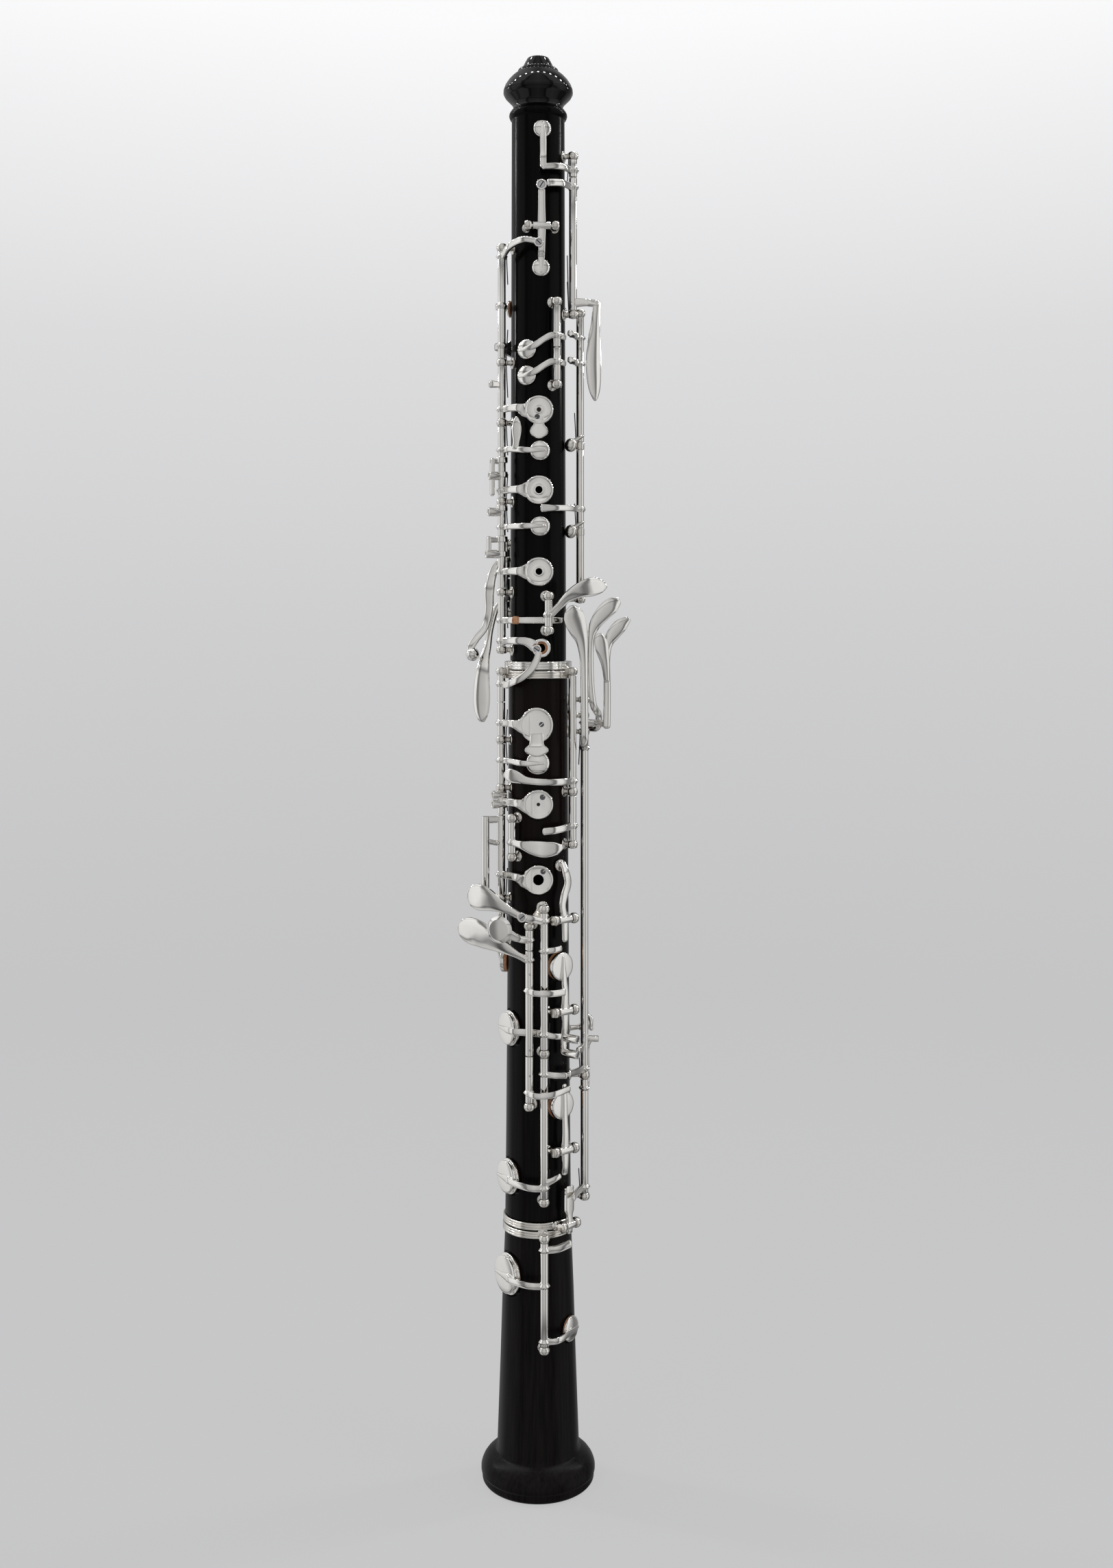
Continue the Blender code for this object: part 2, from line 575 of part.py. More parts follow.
def upper_stack_keys():
    key = finger_key("half_hole_key", "half_hole", STACK_U, 441.4 + BALL_FLAT + GAP, 466.5 - BALL_FLAT - GAP,
                     447.0, 0.6, (437.1, 3.8, 2.8, 0.0))
    key.bar([(-16.0, -6.2, 457.3), (-19.6, -7.8, 457.3)], [(1.0, 0.8), (1.6, 1.2)])
    key.done()

    key = vent_key("c_vent_key", "c_vent", STACK_U, 427.2, 441.4 - BALL_FLAT - GAP, 430.0)
    key.bar(
        [(-9.2, -12.5, 430.2), (-8.8, -13.2, 432.8), (-8.7, -13.5, 437.4), (-8.7, -13.4, 440.8), (-8.8, -13.2, 442.6)],
        [(1.2, 1.1), (1.4, 0.8), (2.1, 0.8), (1.7, 0.8), (0.7, 0.6)],
        (-0.3, -0.95, 0),
    )
    key.done()

    key = finger_key("a_key", "a_key", STACK_U, 408.7 + BALL_FLAT + GAP, 426.7, 413.2, 1.4)
    key.bar([(-16.0, -6.2, 419.2), (-19.0, -7.6, 419.2)], [(1.0, 0.9), (1.2, 1.1)])
    key.parts.append(cylinder(1.25, (-18.2, -7.4, 419.2), (-0.94, -0.34, 0), 4.6, 8))
    key.bar([(-16.2, -6.2, 425.3), (-19.4, -7.4, 425.3)], [(0.9, 0.8), (0.9, 0.9)])
    key.bar([(-19.0, -7.2, 425.9), (-19.0, -7.2, 411.6)], [(1.0, 0.9), (1.0, 0.9)])
    key.done()

    key = vent_key("b_flat_key", "b_flat", STACK_U, 394.4, 408.7 - BALL_FLAT - GAP, 398.0)
    key.bar([(-16.0, -6.2, 404.2), (-19.0, -7.6, 404.2)], [(1.0, 0.9), (1.2, 1.1)])
    key.parts.append(cylinder(1.25, (-18.2, -7.4, 404.2), (-0.94, -0.34, 0), 5.2, 8))
    key.done()

    key = finger_key("g_key", "g_key", STACK_U, 370.9 + BALL_FLAT + GAP, 393.9, 379.5, 1.3)
    key.bar([(-16.0, -6.2, 386.7), (-20.0, -7.8, 386.7)], [(1.0, 0.9), (1.2, 1.1)])
    key.parts.append(cylinder(1.25, (-18.6, -7.4, 386.7), (-0.94, -0.34, 0), 6.4, 8))
    key.bar([(-16.2, -6.2, 392.6), (-20.6, -7.8, 392.6)], [(0.9, 0.8), (1.0, 0.9)])
    key.bar([(-20.4, -7.8, 393.4), (-20.4, -7.8, 386.7)], [(1.0, 0.9), (1.0, 0.9)])
    key.done()

    key = Key("low_g_key").tube(STACK_U, 346.9 + BALL_FLAT + GAP, 370.9 - BALL_FLAT - GAP)
    key.collar(STACK_U, 359.2).collar(STACK_U, 350.6)
    key.bar(
        [(-14.2, -7.2, 359.2), (-9.5, -12.6, 359.2), (-2, -13.2, 359.2), (4.9, -12.0, 359.2), (9.8, -10.2, 359.2)],
        [(1.2, 0.9), (1.1, 0.6), (1.1, 0.5), (1.1, 0.45), (0.9, 0.45)],
    )
    key.bar(
        [(-14.2, -7.2, 350.6), (-9.6, -12.4, 350.8), (-4.6, -14.2, 350.4), key.top_of("low_g", -2.6, 0.6, -0.5)],
        [(1.5, 1.0), (1.3, 0.8), (1.8, 0.7), (2.4, 0.5)],
    )
    key.cup("low_g", 1.5, 1.7).done()


def trill_keys():
    for name, hole, low, high, arm_z in (
        ("d_trill_key", "d_trill", 471.9, 490.7 - BALL_FLAT - GAP, 476.4),
        ("c_sharp_trill_key", "c_sharp_trill", 456.4 + BALL_FLAT + GAP, 471.4, 465.6),
    ):
        key = Key(name).tube(TRILL_U, low, high).collar(TRILL_U, arm_z)
        radius = TONE_HOLES[hole][2]
        x, y = TRILL_U
        key.bar(
            [(x + 3.2, y + 2.2, arm_z - 0.3), (x + 1.0, y - 0.4, arm_z), (x - 2.2, y - 1.8, arm_z),
             (x - 5.2, y - 2.2, arm_z - 1.6), key.top_of(hole, radius * 0.9, 0.8, 0.5),
             key.top_of(hole, -radius * 0.7, -0.6, 0.0)],
            [(1.0, 0.8), (1.1, 0.8), (1.1, 0.8), (1.1, 0.8), (1.1, 0.8), (0.5, 0.5)],
        )
        key.cup(hole).done()


def side_keys():
    x, y = SIDE_U
    key = Key("upper_trill_link").tube(SIDE_U, 432.4 + BALL_FLAT + GAP, 488.0 - BALL_FLAT - GAP)
    key.collar(SIDE_U, 477.6, 1.0).collar(SIDE_U, 466.6, 1.0)
    for z in (477.6, 466.6):
        key.bar([(x - 0.4, y - 1.4, z), (x - 1.2, y - 5.0, z), (x - 4.6, y - 9.2, z + 0.6)],
                [(1.2, 0.9), (1.2, 0.9), (1.0, 0.8)])
    key.done()

    key = Key("forked_f_vent_key").tube(SIDE_U, 396.3 + BALL_FLAT + GAP, 432.4 - BALL_FLAT - GAP)
    key.collar(SIDE_U, 405.8)
    key.bar(
        [(x - 0.6, y - 1.3, 405.8), (14.8, -8.6, 405.7), (9.0, -14.2, 405.4), (1.6, -16.6, 405.2)],
        [(1.2, 0.9), (1.1, 0.8), (1.0, 0.7), (1.6, 0.6)],
    )
    key.done()

    key = Key("g_sharp_lever").tube(GSHARP_U, 355.0 + BALL_FLAT + GAP, 369.2 - BALL_FLAT - GAP)
    key.collar(GSHARP_U, 361.6)
    key.bar(
        [(5.4, -15.8, 361.6), (8.6, -17.0, 364.8), (12.5, -17.6, 368.8), (17.5, -17.0, 371.6), (22.5, -15.0, 373.0),
         (26.6, -12.4, 373.2), (28.2, -11.4, 373.0)],
        [(1.4, 0.9), (1.5, 0.9), (2.2, 0.9), (3.3, 0.9), (3.9, 0.9), (2.6, 0.8), (0.7, 0.5)],
    )
    key.done()


def rear_trill_levers():
    x, y = REAR_U
    key = Key("upper_trill_touch").tube(REAR_U, 377.4, 392.0 - BALL_FLAT - GAP).collar(REAR_U, 385.0)
    key.bar(
        [(x - 1.2, y - 0.8, 385.0), (-18.6, 5.6, 381.0), (-20.6, 3.6, 372.0), (-20.8, 3.2, 364.0),
         (-22.4, 2.2, 356.4), (-26.2, 1.2, 351.4), (-28.4, 0.8, 347.6), (-28.0, 0.8, 345.2)],
        [(1.4, 1.0), (1.8, 0.8), (2.2, 0.8), (1.8, 0.8), (1.4, 0.8), (1.6, 0.9), (1.6, 1.0), (1.4, 1.0)],
        (-0.3, -0.95, 0),
    )
    key.parts.append(turned([(0, 2.9), (1.5, 2.5), (2.6, 1.2), (2.9, -0.2), (2.4, -1.7), (1.2, -2.7), (0, -2.9)], 10,
                            (-27.6, 0.8, 345.0), (-0.2, -0.6, 1)))
    key.done()

    key = Key("lower_trill_touch").tube(REAR_U, 362.0 + BALL_FLAT + GAP, 376.9).collar(REAR_U, 368.4)
    key.bar(
        [(x - 0.8, y + 1.2, 368.4), (-18.0, 8.6, 364.0), (-20.4, 6.6, 356.0), (-21.4, 4.8, 348.6),
         (-22.8, 2.8, 342.0), (-23.6, 1.6, 335.0), (-23.8, 1.0, 326.0), (-23.7, 0.8, 319.6), (-23.6, 0.8, 316.8)],
        [(1.4, 1.0), (1.4, 0.8), (1.6, 0.8), (1.7, 0.8), (2.4, 0.9), (3.3, 1.0), (3.8, 1.0), (2.9, 0.9), (1.0, 0.5)],
        (-0.3, -0.95, 0),
    )
    key.done()


def left_pinky_levers():
    key = Key("low_b_lever").tube(LONG_L, 169.0 + BALL_FLAT + GAP, 312.6 - BALL_FLAT - GAP)
    key.collar(LONG_L, 171.9, 1.0).collar(LONG_L, 306.0)
    key.bar(
        [(19.4, -3.0, 306.0), (19.6, -8.4, 307.0), (19.4, -11.6, 312.0), (19.2, -12.6, 330.0), (19.0, -13.4, 343.0),
         (18.3, -14.2, 350.4), (16.8, -14.9, 355.0), (15.2, -15.6, 359.6), (14.6, -16.0, 362.8), (14.4, -16.2, 365.0)],
        [(1.3, 1.0), (1.3, 1.0), (1.6, 1.1), (1.6, 1.1), (1.8, 1.0), (2.7, 0.9), (4.0, 0.9), (4.7, 0.9), (3.9, 0.9),
         (1.6, 0.5)],
        (0.35, -0.94, 0),
    )
    key.bar(
        [(19.0, -3.2, 171.9), (16.6, -8.6, 172.2), (12.8, -14.4, 172.6)],
        [(1.2, 0.9), (1.1, 0.9), (1.0, 0.8)],
    )
    key.bar([(19.2, -3.4, 181.8), (18.2, -7.4, 181.4), (16.6, -10.2, 181.2)], [(1.2, 0.9), (1.1, 0.9), (1.0, 0.8)])
    key.done()

    key = Key("left_f_lever").tube(LONG_L, 312.6 + BALL_FLAT + GAP, 326.0 - BALL_FLAT - GAP)
    key.collar(LONG_L, 316.4, 1.0)
    key.bar([(20.4, -2.4, 316.4), (24.4, -3.6, 316.2), (28.6, -5.6, 316.2)], [(1.3, 1.0), (1.3, 1.0), (1.3, 1.1)])
    key.bar(
        [(28.6, -5.6, 315.0), (28.8, -5.8, 330.0), (28.6, -6.0, 343.0), (29.2, -6.2, 349.4), (31.4, -6.4, 353.6),
         (34.6, -6.0, 357.2), (37.8, -5.2, 359.8)],
        [(1.6, 1.2), (1.5, 1.1), (1.5, 1.1), (2.0, 1.0), (2.9, 0.9), (2.8, 0.9), (1.0, 0.5)],
        (0.25, -0.97, 0),
    )
    key.bar(
        [(28.6, -6.6, 334.0), (28.0, -8.2, 341.0), (26.6, -9.6, 347.4), (25.8, -10.2, 351.4), (25.6, -10.2, 353.6)],
        [(1.0, 0.9), (1.9, 0.8), (2.9, 0.8), (2.6, 0.7), (1.0, 0.4)],
        (0.25, -0.97, 0),
    )
    key.done()

    key = Key("low_b_flat_lever").tube(BEHIND_L, 187.0 + BALL_FLAT + GAP, 319.0 - BALL_FLAT - GAP)
    key.bar(
        [(20.4, 6.1, 313.8), (24.8, 3.4, 314.0), (25.4, 0.4, 319.4), (24.2, -5.6, 321.6), (22.8, -8.6, 325.0),
         (21.8, -9.6, 335.0), (21.8, -10.0, 350.0), (23.2, -10.4, 356.6), (26.6, -10.2, 361.6),
         (30.6, -9.4, 365.4), (33.6, -8.4, 367.4)],
        [(1.2, 1.1), (1.2, 1.0), (1.2, 1.0), (1.4, 1.0), (1.2, 1.0), (1.2, 1.1), (1.4, 1.0), (2.3, 0.9), (3.3, 0.9),
         (3.3, 0.9), (1.6, 0.5)],
        (0.25, -0.97, 0),
    )
    key.bar([(20.4, 6.0, 192.0), (22.2, 4.4, 190.6), (22.4, 3.0, 187.0)], [(1.2, 1.0), (1.1, 0.9), (1.0, 0.9)])
    key.done()

    key = Key("low_b_flat_transfer").tube(LONG_L, 118.3 + BALL_FLAT + GAP, 169.0 - BALL_FLAT - GAP)
    key.collar(LONG_L, 163.6, 1.0).collar(LONG_L, 122.3, 1.0)
    key.bar(
        [(20.4, -0.8, 164.0), (20.8, 1.3, 166.4), (20.8, 1.8, 172.0), (20.8, 1.7, 180.0), (22.0, 0.2, 183.6)],
        [(1.2, 1.0), (1.0, 0.9), (0.9, 0.9), (0.9, 0.9), (1.1, 0.9)],
    )
    key.parts.append(cylinder(1.3, (21.2, 0.2, 183.6), (1, -0.1, 0), 4.2, 8))
    key.bar([(18.8, -3.0, 122.3), (16.6, -8.4, 122.3), (14.6, -14.6, 121.6)], [(1.2, 0.9), (1.1, 0.9), (1.0, 0.8)])
    key.done()


def lower_stack_keys():
    key = Key("bridge_to_upper_key").tube(STACK_L, 325.4, 338.0 - BALL_FLAT - GAP).collar(STACK_L, 332.8)
    key.bar(
        [(-14.4, -7.4, 332.8), (-12.6, -12.2, 332.6), (-9.8, -15.9, 334.0), (-6.2, -17.8, 335.9), (-2.8, -18.7, 339.0),
         (-0.5, -19.0, 342.8), (0.4, -19.0, 346.0)],
        [(1.3, 1.0), (1.3, 0.9), (1.3, 0.9), (1.3, 0.9), (1.3, 0.8), (1.2, 0.8), (1.1, 0.8)],
    )
    key.parts.append(cylinder(1.9, (-0.4, -18.0, 347.3), (0, -1, 0), 1.6, 8))
    key.done()

    key = finger_key("f_sharp_key", "f_sharp", STACK_L, 309.5 + BALL_FLAT + GAP, 325.0, 316.6, 0.6,
                     (305.9, 5.0, 2.4, 2.4))
    key.done()

    vent_key("f_vent_key", "f_vent", STACK_L, 289.5 + BALL_FLAT + GAP, 309.5 - BALL_FLAT - GAP, 301.0).done()

    key = finger_key("e_key", "e_key", STACK_L, 278.4, 289.5 - BALL_FLAT - GAP, 284.0, 0.7)
    key.parts.append(cylinder(1.25, (-16.2, -6.6, 286.6), (-0.94, -0.34, 0), 6.0, 8))
    key.parts.append(cylinder(1.25, (-16.2, -6.6, 282.8), (-0.94, -0.34, 0), 6.0, 8))
    key.done()

    key = finger_key("d_key", "d_key", STACK_L, 243.6 + BALL_FLAT + GAP, 278.0, 253.6, 2.2)
    key.bar([(-16.2, -6.4, 276.4), (-21.8, -8.0, 276.4)], [(1.1, 1.0), (1.3, 1.2)])
    key.bar([(-16.2, -6.4, 266.4), (-21.8, -8.0, 267.6)], [(1.0, 0.9), (1.0, 0.9)])
    key.parts.append(cylinder(1.7, (-21.8, -8.0, 247.6), (0, 0, 1), 30.2, 8))
    key.done()

    key = Key("d_sharp_key").tube(STACK_L, 226.4 + BALL_FLAT + GAP, 243.6 - BALL_FLAT - GAP).collar(STACK_L, 231.6)
    key.bar(
        [(-16.0, -4.8, 231.6), (-17.2, -1.4, 229.6), (-17.6, 0.6, 224.6), key.top_of("side_cup", 1.0, 3.0, 0.5, 2.2),
         key.top_of("side_cup", 0, -2.6, 0.1, 2.2)],
        [(1.3, 1.0), (1.3, 0.9), (1.2, 0.9), (1.1, 0.8), (0.7, 0.6)],
    )
    key.cup("side_cup", 2.2).done()

    key = Key("leaf_key").tube(LEAF_L, 261.5 + BALL_FLAT + GAP, 277.6 - BALL_FLAT - GAP).collar(LEAF_L, 267.6)
    key.bar(
        [(-10.2, -13.2, 267.6), (-7.0, -16.2, 267.2), (-2.6, -17.6, 266.2), (2.4, -17.8, 265.4),
         (7.4, -16.6, 265.6), (9.8, -15.6, 266.2)],
        [(1.3, 0.9), (1.6, 0.9), (2.7, 0.8), (3.3, 0.8), (2.6, 0.8), (1.0, 0.6)],
    )
    key.done()


def fork_rod_keys():
    key = Key("forked_f_key").tube(FORK_L, 288.1 + BALL_FLAT + GAP, 338.0 - BALL_FLAT - GAP)
    key.collar(FORK_L, 292.6)
    key.bar(
        [(13.6, -9.2, 292.6), (9.4, -15.2, 292.8), (2.0, -18.2, 293.0), (-4.4, -18.0, 293.6), (-9.0, -16.6, 295.0),
         (-12.0, -15.2, 295.6), (-13.6, -14.2, 295.6)],
        [(1.3, 1.0), (1.2, 0.9), (1.1, 0.8), (1.4, 0.8), (2.6, 0.8), (2.7, 0.8), (0.9, 0.5)],
    )
    key.done()

    key = Key("e_vent_arm").tube(FORK_L, 266.2 + BALL_FLAT + GAP, 288.1 - BALL_FLAT - GAP).collar(FORK_L, 274.0)
    key.bar(
        [(13.6, -9.2, 274.0), (11.0, -14.2, 273.7), (7.0, -17.4, 273.2), (2.6, -18.6, 272.8)],
        [(1.3, 0.9), (1.3, 0.8), (1.4, 0.8), (1.5, 0.8)],
    )
    key.done()


def front_tube_keys():
    key = Key("low_c_key").tube(RIGHT_L, 181.7 + BALL_FLAT + GAP, 241.0 - BALL_FLAT - GAP)
    for z in (236.0, 223.8, 189.6):
        key.collar(RIGHT_L, z, 1.1)
    key.bar(
        [(1.6, -18.0, 236.0), (-2.4, -20.6, 237.6), (-6.2, -21.2, 238.4), (-11.4, -20.8, 241.0),
         (-16.4, -19.4, 243.2), (-20.6, -17.6, 244.8), (-24.4, -15.6, 245.6), (-27.4, -13.8, 245.8),
         (-28.8, -12.9, 245.8)],
        [(1.2, 1.0), (1.2, 0.9), (1.4, 0.9), (1.8, 0.9), (3.2, 0.9), (4.9, 1.0), (5.5, 1.0), (4.2, 0.9), (2.0, 0.5)],
    )
    key.parts.append(cylinder(1.7, (-5.9, -20.8, 238.4), (-0.28, -0.96, 0), 1.9, 8))
    key.bar([(3.8, -17.4, 223.8), (7.0, -17.0, 224.2), (9.4, -15.0, 224.4)], [(1.1, 0.9), (1.0, 0.8), (1.0, 0.7)])
    key.bar(
        [(1.6, -16.6, 189.6), (-1.6, -14.9, 189.6), (-5.4, -14.0, 189.6), key.top_of("low_c", 6.6, 0, -0.6, 2.3),
         key.top_of("low_c", 3.0, 0, 0.2, 2.3), key.top_of("low_c", -5.4, 0, 0.0, 2.3)],
        [(1.2, 0.6), (1.2, 0.5), (1.2, 0.5), (1.2, 0.7), (1.1, 0.8), (0.5, 0.5)],
    )
    key.bar([(3.6, -17.6, 189.6), (6.4, -17.6, 189.0), (9.2, -16.4, 188.6)], [(1.1, 0.9), (1.0, 0.8), (1.0, 0.7)])
    key.cup("low_c", 2.3).done()

    key = Key("low_b_key").tube(RIGHT_L, 120.8 + BALL_FLAT + GAP, 181.7 - BALL_FLAT - GAP)
    for z in (173.4, 126.8):
        key.collar(RIGHT_L, z, 1.1)
    key.bar([(3.6, -17.8, 173.4), (7.4, -18.4, 173.2), (11.6, -17.4, 172.8)], [(1.1, 0.9), (1.1, 0.9), (1.0, 0.8)])
    key.bar(
        [(1.6, -18.0, 126.8), (-3.4, -18.4, 127.2), key.top_of("low_b", 6.0, -0.4, 0.2, 2.3),
         key.top_of("low_b", 2.0, 0, 0.2, 2.3), key.top_of("low_b", -5.4, 0, 0.0, 2.3)],
        [(1.3, 1.0), (1.2, 0.8), (1.1, 0.8), (1.1, 0.8), (0.5, 0.5)],
    )
    key.bar([(3.6, -17.8, 128.8), (6.6, -17.6, 130.4), (9.0, -16.4, 131.4)], [(1.1, 0.9), (1.0, 0.8), (0.9, 0.7)])
    key.cup("low_b", 2.3).done()

    key = Key("c_sharp_touch").tube(LEFT_L, 224.2, 234.0 - BALL_FLAT - GAP).collar(LEFT_L, 228.4, 1.1)
    key.bar(
        [(-4.2, -18.2, 228.4), (-7.6, -21.4, 229.6), (-12.6, -22.3, 232.0)],
        [(1.2, 0.9), (1.3, 0.9), (2.4, 0.7)],
    )
    disc = [(0, 1.0), (4.2, 0.8), (5.6, 0.0), (5.0, -0.7), (0, -0.8)]
    key.parts.append(turned(disc, CUP_SIDES, (-15.6, -21.3, 233.2), (-0.35, -0.94, 0)))
    key.done()

    key = Key("e_flat_key").tube(LEFT_L, 181.0, 223.8)
    for z in (220.2, 207.5):
        key.collar(LEFT_L, z, 1.1)
    key.bar(
        [(-4.2, -18.0, 220.2), (-8.6, -18.0, 222.6), (-14.2, -16.6, 225.4), (-20.4, -14.0, 228.4),
         (-25.6, -11.2, 230.2), (-29.6, -9.0, 230.9), (-32.2, -7.5, 231.2), (-33.2, -7.0, 231.3)],
        [(1.2, 0.9), (1.5, 0.9), (2.9, 0.9), (5.2, 1.0), (5.9, 1.0), (5.3, 1.0), (3.2, 0.9), (1.4, 0.5)],
    )
    key.bar(
        [(-3.8, -18.6, 207.6), (-1.6, -21.0, 207.4), (2.6, -21.6, 207.2), (7.0, -20.0, 207.0), (10.8, -16.8, 206.8)],
        [(1.2, 0.9), (1.1, 0.8), (1.1, 0.8), (1.1, 0.8), (1.3, 0.8)],
    )
    key.done()

    key = Key("c_sharp_release_arm").tube(LEFT_L, 160.0 + BALL_FLAT + GAP, 180.6).collar(LEFT_L, 165.8, 1.1)
    key.bar(
        [(-3.8, -18.6, 165.8), (-1.6, -21.0, 165.6), (2.6, -21.8, 165.6), (7.6, -20.4, 166.2), (12.8, -15.6, 167.0)],
        [(1.2, 0.9), (1.1, 0.8), (1.1, 0.8), (1.1, 0.8), (1.0, 0.8)],
    )
    key.done()


def rocking_levers():
    angle = 40
    key = Key("f_resonance_key").boss(angle, 17.0, 236.0, 3.3)
    at = lambda radius, z, shift=0.0: (*polar(angle + shift, radius), z)
    key.bar(
        [at(17.2, 227.4), at(17.2, 232.0), at(17.0, 236.0), at(17.2, 241.6, -4), at(17.2, 246.0, -1),
         at(17.0, 250.4, 6), at(16.8, 254.4, 4), key.top_of("f_resonance", 0, 1.2, 0.0)],
        [(1.1, 0.9), (1.3, 0.9), (1.6, 1.0), (1.5, 0.9), (1.8, 0.9), (1.9, 0.9), (1.8, 0.9), (1.5, 0.8)],
    )
    key.cup("f_resonance", 1.6).done()

    key = Key("e_flat_cup_key").boss(angle, 17.2, 198.2, 3.3)
    key.bar(
        [at(16.4, 180.8), at(16.6, 187.0), at(17.2, 192.0), at(17.2, 198.2), at(17.4, 206.0), key.top_of("e_flat", 0, -5.6, 0.5, 2.2),
         key.top_of("e_flat", 0, 4, 0.0, 2.2)],
        [(1.1, 0.9), (1.2, 0.9), (1.4, 0.9), (1.8, 1.0), (1.3, 0.9), (1.1, 0.8), (0.5, 0.5)],
    )
    for z in (187.2, 181.0):
        key.parts.append(cylinder(1.6, at(16.6, z, 1), (*polar(angle + 14, 1), 0), 7.0, 8))
    key.cup("e_flat", 2.2).done()

    key = Key("c_sharp_cup_key").boss(angle, 17.4, 141.0, 3.3)
    key.bar(
        [at(17.0, 131.4), at(17.4, 135.0), at(17.4, 141.0), at(17.6, 148.0), key.top_of("c_sharp", 0, -5.6, 0.5, 2.2),
         key.top_of("c_sharp", 0, 4, 0.3, 2.2), key.top_of("c_sharp", 0, 8.6, 0.0, 2.2)],
        [(1.2, 0.9), (1.4, 0.9), (1.8, 1.0), (1.3, 0.9), (1.1, 0.8), (0.9, 0.7), (0.9, 0.6)],
    )
    key.cup("c_sharp", 2.2).done()

    key = Key("bell_bridge_lever").boss(48, 17.4, 109.6, 2.4)
    key.bar(
        [at(17.5, z, 8) for z in (106.6, 109.6, 113.6, 115.4, 120.0, 125.2)],
        [(1.5, 0.8), (1.6, 1.0), (1.6, 0.8), (2.5, 0.8), (2.6, 0.8), (2.5, 0.7)],
    )
    key.done()


def bell_keys():
    key = Key("bell_key").tube(BELL_ROD, 60.8 + BALL_FLAT + GAP, 106.4 - BALL_FLAT - GAP)
    for z in (101.8, 87.2, 64.4):
        key.collar(BELL_ROD, z, 1.1)
    key.bar([(3.8, -18.6, 101.8), (8.4, -19.2, 102.6), (13.4, -17.2, 104.0)], [(1.4, 0.9), (1.5, 0.8), (1.6, 0.7)])
    key.bar(
        [(1.6, -18.8, 87.2), (-3.6, -19.2, 87.6), key.top_of("low_b_flat", 6.6, -0.3, 0.4, 2.3),
         key.top_of("low_b_flat", 2.0, 0, 0.2, 2.3), key.top_of("low_b_flat", -6.4, 0, 0.0, 2.3)],
        [(1.3, 1.0), (1.2, 0.9), (1.1, 0.8), (1.1, 0.8), (0.5, 0.5)],
    )
    key.bar(
        [(3.8, -18.6, 64.4), (8.6, -18.8, 65.2), key.top_of("bell_vent", -2.6, 0, 0.3),
         key.top_of("bell_vent", 3.2, 0, 0.0)],
        [(1.2, 0.9), (1.1, 0.9), (1.0, 0.8), (0.5, 0.5)],
    )
    key.cup("low_b_flat", 2.3).cup("bell_vent").done()
    rod = rod_on_posts(BELL_ROD, (106.4, 60.8), {106.4: 14.2})
    fuse("bell_ring_and_rod", [ring(12.85, 14.8, 104.65, BELL_Z - SPLIT - 0.05), *rod], [], STEEL)


for leftover in list(bpy.data.objects):
    bpy.data.objects.remove(leftover)
OBOE = bpy.data.collections.new("oboe")
CUTTERS = bpy.data.collections.new("cutters")
bpy.context.scene.collection.children.link(OBOE)
bpy.context.scene.collection.children.link(CUTTERS)
CUTTERS.hide_render = True

for build in (
    upper_wood, lower_wood, bell_wood, upper_rods, lower_rods, octave_keys, octave_rocker, left_upper_keys,
    upper_stack_keys, trill_keys, side_keys, rear_trill_levers, left_pinky_levers, lower_stack_keys, fork_rod_keys,
    front_tube_keys, rocking_levers, bell_keys,
):
    build()
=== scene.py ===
"""Looks of a full-system oboe: turned blackwood joints, silver-plated keys on nickel-silver posts, pads, screws
and needle springs.

Lengths in the tables and in the shape functions are millimetres. Z runs up the bore from the bell's rim, the
key cups face -Y, and an angle of 0 is the front of the instrument, growing towards +X.
"""

import json
import math

import bmesh
import bpy
from mathutils import Matrix, Vector

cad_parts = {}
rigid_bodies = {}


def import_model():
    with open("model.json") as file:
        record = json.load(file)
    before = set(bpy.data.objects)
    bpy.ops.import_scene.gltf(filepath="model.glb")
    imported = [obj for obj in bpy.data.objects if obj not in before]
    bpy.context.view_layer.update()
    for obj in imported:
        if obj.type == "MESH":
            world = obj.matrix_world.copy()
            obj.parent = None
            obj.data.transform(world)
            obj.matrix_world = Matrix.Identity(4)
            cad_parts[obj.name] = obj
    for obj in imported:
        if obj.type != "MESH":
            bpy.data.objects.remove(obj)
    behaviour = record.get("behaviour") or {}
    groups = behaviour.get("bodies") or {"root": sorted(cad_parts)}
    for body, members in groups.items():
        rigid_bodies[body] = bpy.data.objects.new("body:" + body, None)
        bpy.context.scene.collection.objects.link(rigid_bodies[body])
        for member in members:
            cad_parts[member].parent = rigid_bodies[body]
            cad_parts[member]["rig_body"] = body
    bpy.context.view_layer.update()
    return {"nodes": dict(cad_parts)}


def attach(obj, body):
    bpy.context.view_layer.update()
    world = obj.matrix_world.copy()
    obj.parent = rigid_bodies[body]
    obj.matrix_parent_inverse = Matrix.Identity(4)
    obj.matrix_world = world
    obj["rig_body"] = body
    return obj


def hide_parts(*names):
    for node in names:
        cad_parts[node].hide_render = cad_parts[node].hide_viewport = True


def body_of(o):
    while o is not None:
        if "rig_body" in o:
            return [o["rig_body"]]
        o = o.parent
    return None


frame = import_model()

MM = 0.001
UP = (0, 0, 1)

